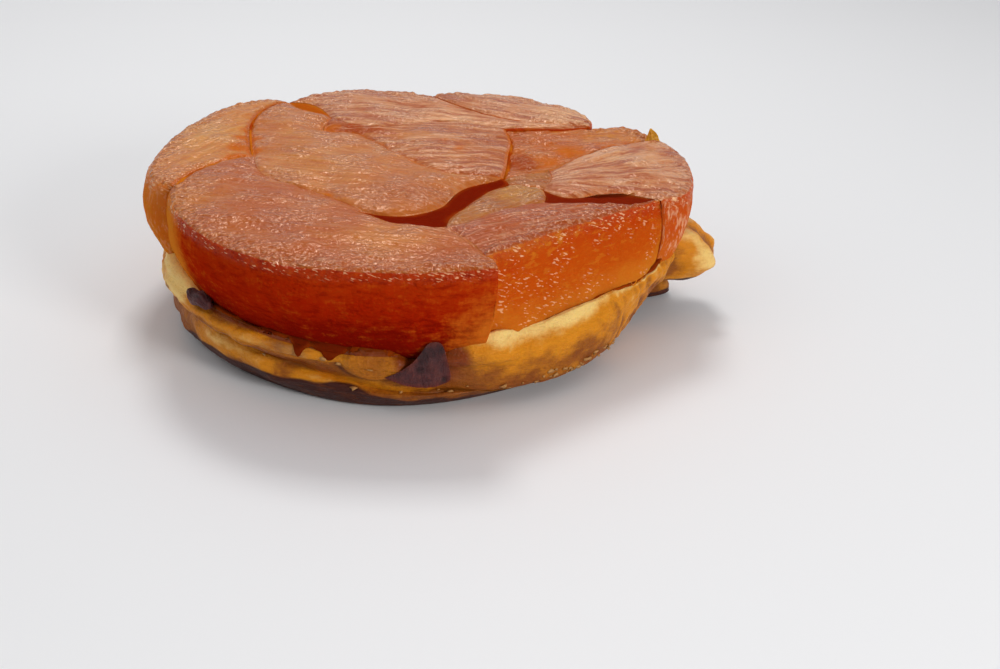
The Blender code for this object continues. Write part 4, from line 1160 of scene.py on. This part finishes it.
# Corners of the front flake as bearing and height, and the place it is thickest at.
PEEL_FRONT = ((271.0, 9.6), (274.6, 11.6), (277.6, 14.8), (279.4, 17.6), (281.8, 17.4), (283.2, 13.2),
              (283.8, 8.8), (280.0, 7.4), (275.6, 7.8))
PEEL_FRONT_CENTRE = (279.4, 11.6)
PEEL_RADIUS = 57.5
PEEL_LEAN = 0.12
PEEL_THICKNESS = 1.5
PEEL_CURL = 0.7
PEEL_RINGS = 26
PEEL_CORNERS = 160
PEEL_LEFT_CENTRE = (-38.9, -39.5, 16.7)
PEEL_LEFT_RADII = (4.2, 1.6, 1.6)
PEEL_LEFT_TURN = -44.0
SCRAP_TIP = 0.06
SCRAP_ROWS = 60
SCRAP_COLUMNS = 90
PEEL_DARK = (0.085, 0.020, 0.022)
PEEL_LIGHT = (0.17, 0.042, 0.034)
PEEL_EDGE = (0.15, 0.022, 0.010)
# The darkest colour is painted shade in the hollows of the wrinkles.
PEEL_CREASE_SHADE = (0.035, 0.010, 0.012)


def peel_material():
    """Leathery skin: purple-brown, redder where it is thin, wrinkled and a little shiny,
    with painted shade in the hollows of its wrinkles.
    """
    material, tree, shader = new_material(
        "peel", Specular_IOR_Level=0.3, Coat_Roughness=0.25, Subsurface_Weight=0.2,
        Subsurface_Radius=(0.002, 0.0004, 0.0003), Subsurface_Scale=1.0)
    place = tree.add("TexCoord", {}, {}, "Object")
    edge, crease_shade, _ = tree.mark("place").parts()
    cloud = place.noise(300, 4, 0.65)
    crinkle = place.scaled(1.6, 1.6, 0.7).noise(900, 4, 0.7)
    base = (cloud + (crinkle - 0.5)).over(0.35, 0.75).blend(PEEL_DARK, PEEL_LIGHT)
    base = (edge * 0.6 + (cloud - 0.5) * 0.6).over(0.1, 0.8).blend(base, PEEL_EDGE)
    base = (crease_shade + (crinkle - 0.5)).over(0.3, 1.0).blend(base, PEEL_CREASE_SHADE)
    plug(shader, Base_Color=base, Roughness=0.35 + crinkle * 0.3,
         Coat_Weight=0.05 + cloud.over(0.5, 0.7) * 0.3, Normal=(crinkle + cloud * 0.6).bump(0.8))
    return material


def closed_skin(layers):
    """Points and faces of rings laid one after another, closed by a point amid either end."""
    rings, count, _ = layers.shape
    points = np.vstack([layers.reshape(-1, 3), layers[0].mean(0), layers[-1].mean(0)])
    step, ahead = np.arange(count), np.roll(np.arange(count), -1)
    first = np.stack([ahead, step, np.full(count, rings * count)], -1)
    last = (rings - 1) * count + np.stack([step, ahead, np.full(count, count + 1)], -1)
    return points, grid_faces(rings, count).tolist() + first.tolist() + last.tolist()


def skin_marks(edge, crease_shade):
    """Marks of a closed skin: how near the edge its rings are and how much painted shade
    their hollows take; its ends are bare.
    """
    marks = np.stack([edge, crease_shade, 0 * crease_shade], -1).reshape(-1, 3)
    return {"place": np.vstack([marks, np.zeros((2, 3))])}


def add_peel_front(material):
    """Flake on an upright cylinder: its outline drawn in towards its middle, inner side then outer.

    The half thickness falls to nothing at the outline along (1 - s^4), its edge curls outward,
    and wrinkles are laid across it.
    """
    closed = spline(PEEL_FRONT + PEEL_FRONT[:1])
    outline = along(closed, np.linspace(0, 1, PEEL_CORNERS, endpoint=False))
    middle = np.array(PEEL_FRONT_CENTRE)
    grow = np.linspace(0.04, 1, PEEL_RINGS)
    share = np.concatenate([grow, grow[-2::-1]])[:, None]
    side = np.repeat([-1.0, 1.0], (PEEL_RINGS, PEEL_RINGS - 1))[:, None]
    spots = middle + (outline - middle) * share[..., None]
    turn, high = np.radians(spots[..., 0]), spots[..., 1]
    flat = np.stack([*np.moveaxis(spots, -1, 0), 0 * high], -1)
    wrinkle = 0.35 * lumps(flat * (1.0, 0.5, 1), 1.6, 41) + 0.18 * lumps(flat * (1.0, 0.6, 1), 0.7, 42)
    radius = (PEEL_RADIUS + PEEL_LEAN * (high - middle[1]) + PEEL_CURL * share ** 6
              + side * PEEL_THICKNESS / 2 * (1 - share ** 4) + wrinkle * (1 - 0.3 * share))
    points, faces = closed_skin(polar(radius, turn, high))
    # The second mark is painted shade in the hollows of the wrinkles.
    marks = skin_marks(share ** 3 + 0 * radius, 0.5 - 1.4 * wrinkle)
    make_piece("peel_flake", points, faces, marks, material, ["peel_front"])


def add_peel_left(material):
    """Shrivelled scrap: an ellipsoid drawn to blunt points and creased along its length."""
    angle = np.linspace(SCRAP_TIP, math.pi - SCRAP_TIP, SCRAP_ROWS)[:, None]
    turn = turns(SCRAP_COLUMNS)[None, :]
    ball = np.stack([-np.cos(angle) + 0 * turn, np.sin(angle) * np.cos(turn), np.sin(angle) * np.sin(turn)], -1)
    crease = 0.5 * lumps(ball * (0.8, 2.4, 2.4), 1.0, 43) + 0.3 * lumps(ball * (1.6, 4, 4), 1.0, 44)
    local = ball * PEEL_LEFT_RADII * (1 + 0.35 * crease[..., None] * (0, 1, 1))
    local[..., 2] += 0.35 * np.sin(local[..., 0] * 1.3)
    lie = math.radians(PEEL_LEFT_TURN)
    along_it, across_it = (math.cos(lie), math.sin(lie), 0), (-math.sin(lie), math.cos(lie), 0)
    points, faces = closed_skin(local @ np.array([along_it, across_it, (0, 0, 1)]) + PEEL_LEFT_CENTRE)
    # The second mark is painted shade in the hollows of the creases.
    marks = skin_marks(0 * crease, 0.35 - 0.9 * crease)
    make_piece("peel_scrap", points, faces, marks, material, ["peel_left"])


peel = peel_material()
add_peel_front(peel)
add_peel_left(peel)

# ----------------------------------------
# Flakes of pastry. Thin scales that lift off the baked edge, most along the underside of the
# fat roll at the front right, with a few all round.
# ----------------------------------------

FLAKE_COUNT = 64
FLAKE_SIDES = 7
FLAKE_SHARE = 0.6
FLAKE_RADIUS = (0.35, 1.3)
FLAKE_LIFT = 0.4
FLAKE_GAP = 0.05
FLAKE_THICKNESS = 0.28
FLAKE_TAPER = 0.94
FLAKE_FLATTEN = 0.6

# Where they lie: under the fat roll, as bearing, half width, height and half height; or between
# two rings, away from the flap and the fat roll, as bearing and half width.
UNDER_ROLL = (306, 24, 5.6, 0.9)
BAKED_RINGS = (3, 9)
BARE_OF_FLAKES = ((FLAP_BEARING, 24), (FAT_ROLL[0], 30))


def add_flakes():
    """Seven-cornered scales scattered on the pastry's finished skin, each a thin closed wafer.

    Each lies flat on a point drawn at random: the one share from the fat roll's underside, the
    rest from anywhere on the baked side but the flap and the fat roll.
    """
    random = np.random.default_rng(7)
    skin, normal, ring = pastry_skin
    turn = np.arctan2(skin[:, 1], skin[:, 0])
    bearing, wide, level, high = UNDER_ROLL
    under = (np.abs(off_bearing(turn, bearing)) < wide) & (np.abs(skin[:, 2] - level) < high) & (ring > 2)
    plain = (ring > BAKED_RINGS[0]) & (ring < BAKED_RINGS[1])
    for centre, clear in BARE_OF_FLAKES:
        plain &= np.abs(off_bearing(turn, centre)) > clear
    under, baked = np.flatnonzero(under), np.flatnonzero(plain)
    first = int(FLAKE_COUNT * FLAKE_SHARE)
    picked = np.concatenate([random.choice(under, first), random.choice(baked, FLAKE_COUNT - first)])
    spot_at, out = skin[picked], normal[picked]
    across = np.cross([0.0, 0.0, 1.0], out)
    across /= np.linalg.norm(across, axis=1, keepdims=True)
    up = np.cross(out, across)
    size = random.uniform(*FLAKE_RADIUS, FLAKE_COUNT)[:, None]
    each = (FLAKE_COUNT, FLAKE_SIDES)
    corner = turns(FLAKE_SIDES) + random.uniform(0, 0.5, each)
    reach = size * random.uniform(0.35, 1.0, each)
    rim = ((reach * np.cos(corner))[..., None] * across[:, None]
           + (FLAKE_FLATTEN * reach * np.sin(corner))[..., None] * up[:, None])
    lift = random.uniform(0.0, FLAKE_LIFT, each)[..., None] * out[:, None]
    base = (spot_at + FLAKE_GAP * out)[:, None] + lift
    lower = base + rim * FLAKE_TAPER - FLAKE_THICKNESS * out[:, None]
    points = np.concatenate([base + rim, lower], 1).reshape(-1, 3)
    step = np.arange(FLAKE_SIDES)
    walls = np.stack([step + FLAKE_SIDES, np.roll(step, -1) + FLAKE_SIDES, np.roll(step, -1), step], -1)
    faces = []
    for start in range(0, len(points), 2 * FLAKE_SIDES):
        ends = start + step, start + FLAKE_SIDES + step[::-1]
        faces += [*(end.tolist() for end in ends), *(start + walls).tolist()]
    tone_of = np.repeat(random.uniform(0.1, 1.0, FLAKE_COUNT), 2 * FLAKE_SIDES)
    marks = np.stack([tone_of, 0.5 - tone_of, 0 * tone_of], -1)
    make_piece("pastry_flakes", points, faces, {"bake_and_shading": marks}, bpy.data.materials["pastry"])


add_flakes()

# ----------------------------------------
# Shred of apple. A small see-through tag of yellow flesh that stands up at the back right rim.
# ----------------------------------------

SHRED_FOOT = (58.6, 25.4, 32.6)
SHRED_HEIGHT = 4.8
SHRED_HALF_WIDTH = 2.3
SHRED_HALF_DEPTH = 0.8
SHRED_LEAN = (-0.9, 0.6)
SHRED_ROWS = 24
SHRED_COLUMNS = 28


def add_shred():
    """Tag that narrows and bends over as it rises: ellipses on a curved line, closed at the tip."""
    rise = np.linspace(0, 0.98, SHRED_ROWS)[:, None]
    turn = turns(SHRED_COLUMNS)[None, :]
    wide, deep = SHRED_HALF_WIDTH * (1 - rise ** 1.6) + 0.12, SHRED_HALF_DEPTH * (1 - rise) + 0.15
    shift_x, shift_y = (shift * rise ** 2 for shift in SHRED_LEAN)
    layers = np.stack([wide * np.cos(turn) + shift_x, deep * np.sin(turn) + shift_y,
                       SHRED_HEIGHT * rise + 0 * turn], -1) + SHRED_FOOT
    points, faces = closed_skin(layers + 0.18 * lumps(layers, 1.1, 51)[..., None])
    blank = np.zeros_like(points)
    amber = apple_material("apple_shred", (0.80, 0.38, 0.02), (0.86, 0.48, 0.05), ((0.75, 0.35, 0.02),) * 3,
                           glinting=0.8)
    marks = {"place": blank, "fibre": points * MM, "tone": blank}
    make_piece("apple_shred", points, faces, marks, amber)


add_shred()

# ----------------------------------------
# Stage: a plain pale floor, soft studio light, and the camera.
# ----------------------------------------

FLOOR_HALF = 3000.0
FLOOR_COLOUR = (0.86, 0.86, 0.86, 1.0)
SKY_LOW = (0.14, 0.145, 0.15)
SKY_HIGH = (0.62, 0.62, 0.64)
SKY_STRENGTH = 0.9
CAMERA_PLACE = (23.37, -306.45, 137.26)
CAMERA_PITCH = 0.4405
CAMERA_ROLL = 0.0422
CAMERA_LENS = 51.08
CAMERA_SENSOR = 36.0
CAMERA_NEAR = 0.01

# Square lights that look at the tart's middle: place, side and power.
SOFTBOXES = {"softbox_top": ((-40, 330, 560), 170, 1.45),
             "softbox_front": ((400, -450, 260), 150, 1.7),
             "softbox_fill": ((-420, -300, 420), 400, 0.5)}

floor_mesh = bpy.data.meshes.new("floor")
corners = np.array([(-1, -1, 0), (1, -1, 0), (1, 1, 0), (-1, 1, 0)]) * FLOOR_HALF * MM
floor_mesh.from_pydata(corners.tolist(), [], [(0, 1, 2, 3)])
floor_mesh.materials.append(new_material("floor", Roughness=0.6, Base_Color=FLOOR_COLOUR)[0])
floor = show("floor", floor_mesh)

for name, (place, size, power) in SOFTBOXES.items():
    lamp = bpy.data.lights.new(name, "AREA")
    lamp.size, lamp.energy = size * MM, power
    light = show(name, lamp)
    light.location = [value * MM for value in place]
    light.rotation_euler = light.location.to_track_quat("Z", "Y").to_euler()

world = bpy.data.worlds.new("studio")
world.use_nodes = True
bpy.context.scene.world = world
_, toward_back, upward = Shade(world.node_tree).add("TexCoord", {}, {}, "Generated").parts()
sky = (toward_back * 0.5 + upward * 0.5 + 0.35).over(0.0, 1.0).blend(SKY_LOW, SKY_HIGH)
backdrop = world.node_tree.nodes["Background"]
plug(backdrop, Color=sky)
backdrop.inputs["Strength"].default_value = SKY_STRENGTH
bpy.context.scene.view_settings.view_transform = "Standard"

camera = show("camera", bpy.data.cameras.new("camera"))
camera.data.lens, camera.data.sensor_width = CAMERA_LENS, CAMERA_SENSOR
camera.data.clip_start = CAMERA_NEAR
camera.location = [value * MM for value in CAMERA_PLACE]
camera.rotation_euler = (math.pi / 2 - CAMERA_PITCH, 0, 0)
level = camera.rotation_euler.to_quaternion()
camera.rotation_mode = "QUATERNION"
camera.rotation_quaternion = level @ Quaternion((0, 0, 1), CAMERA_ROLL)
bpy.context.scene.camera = camera
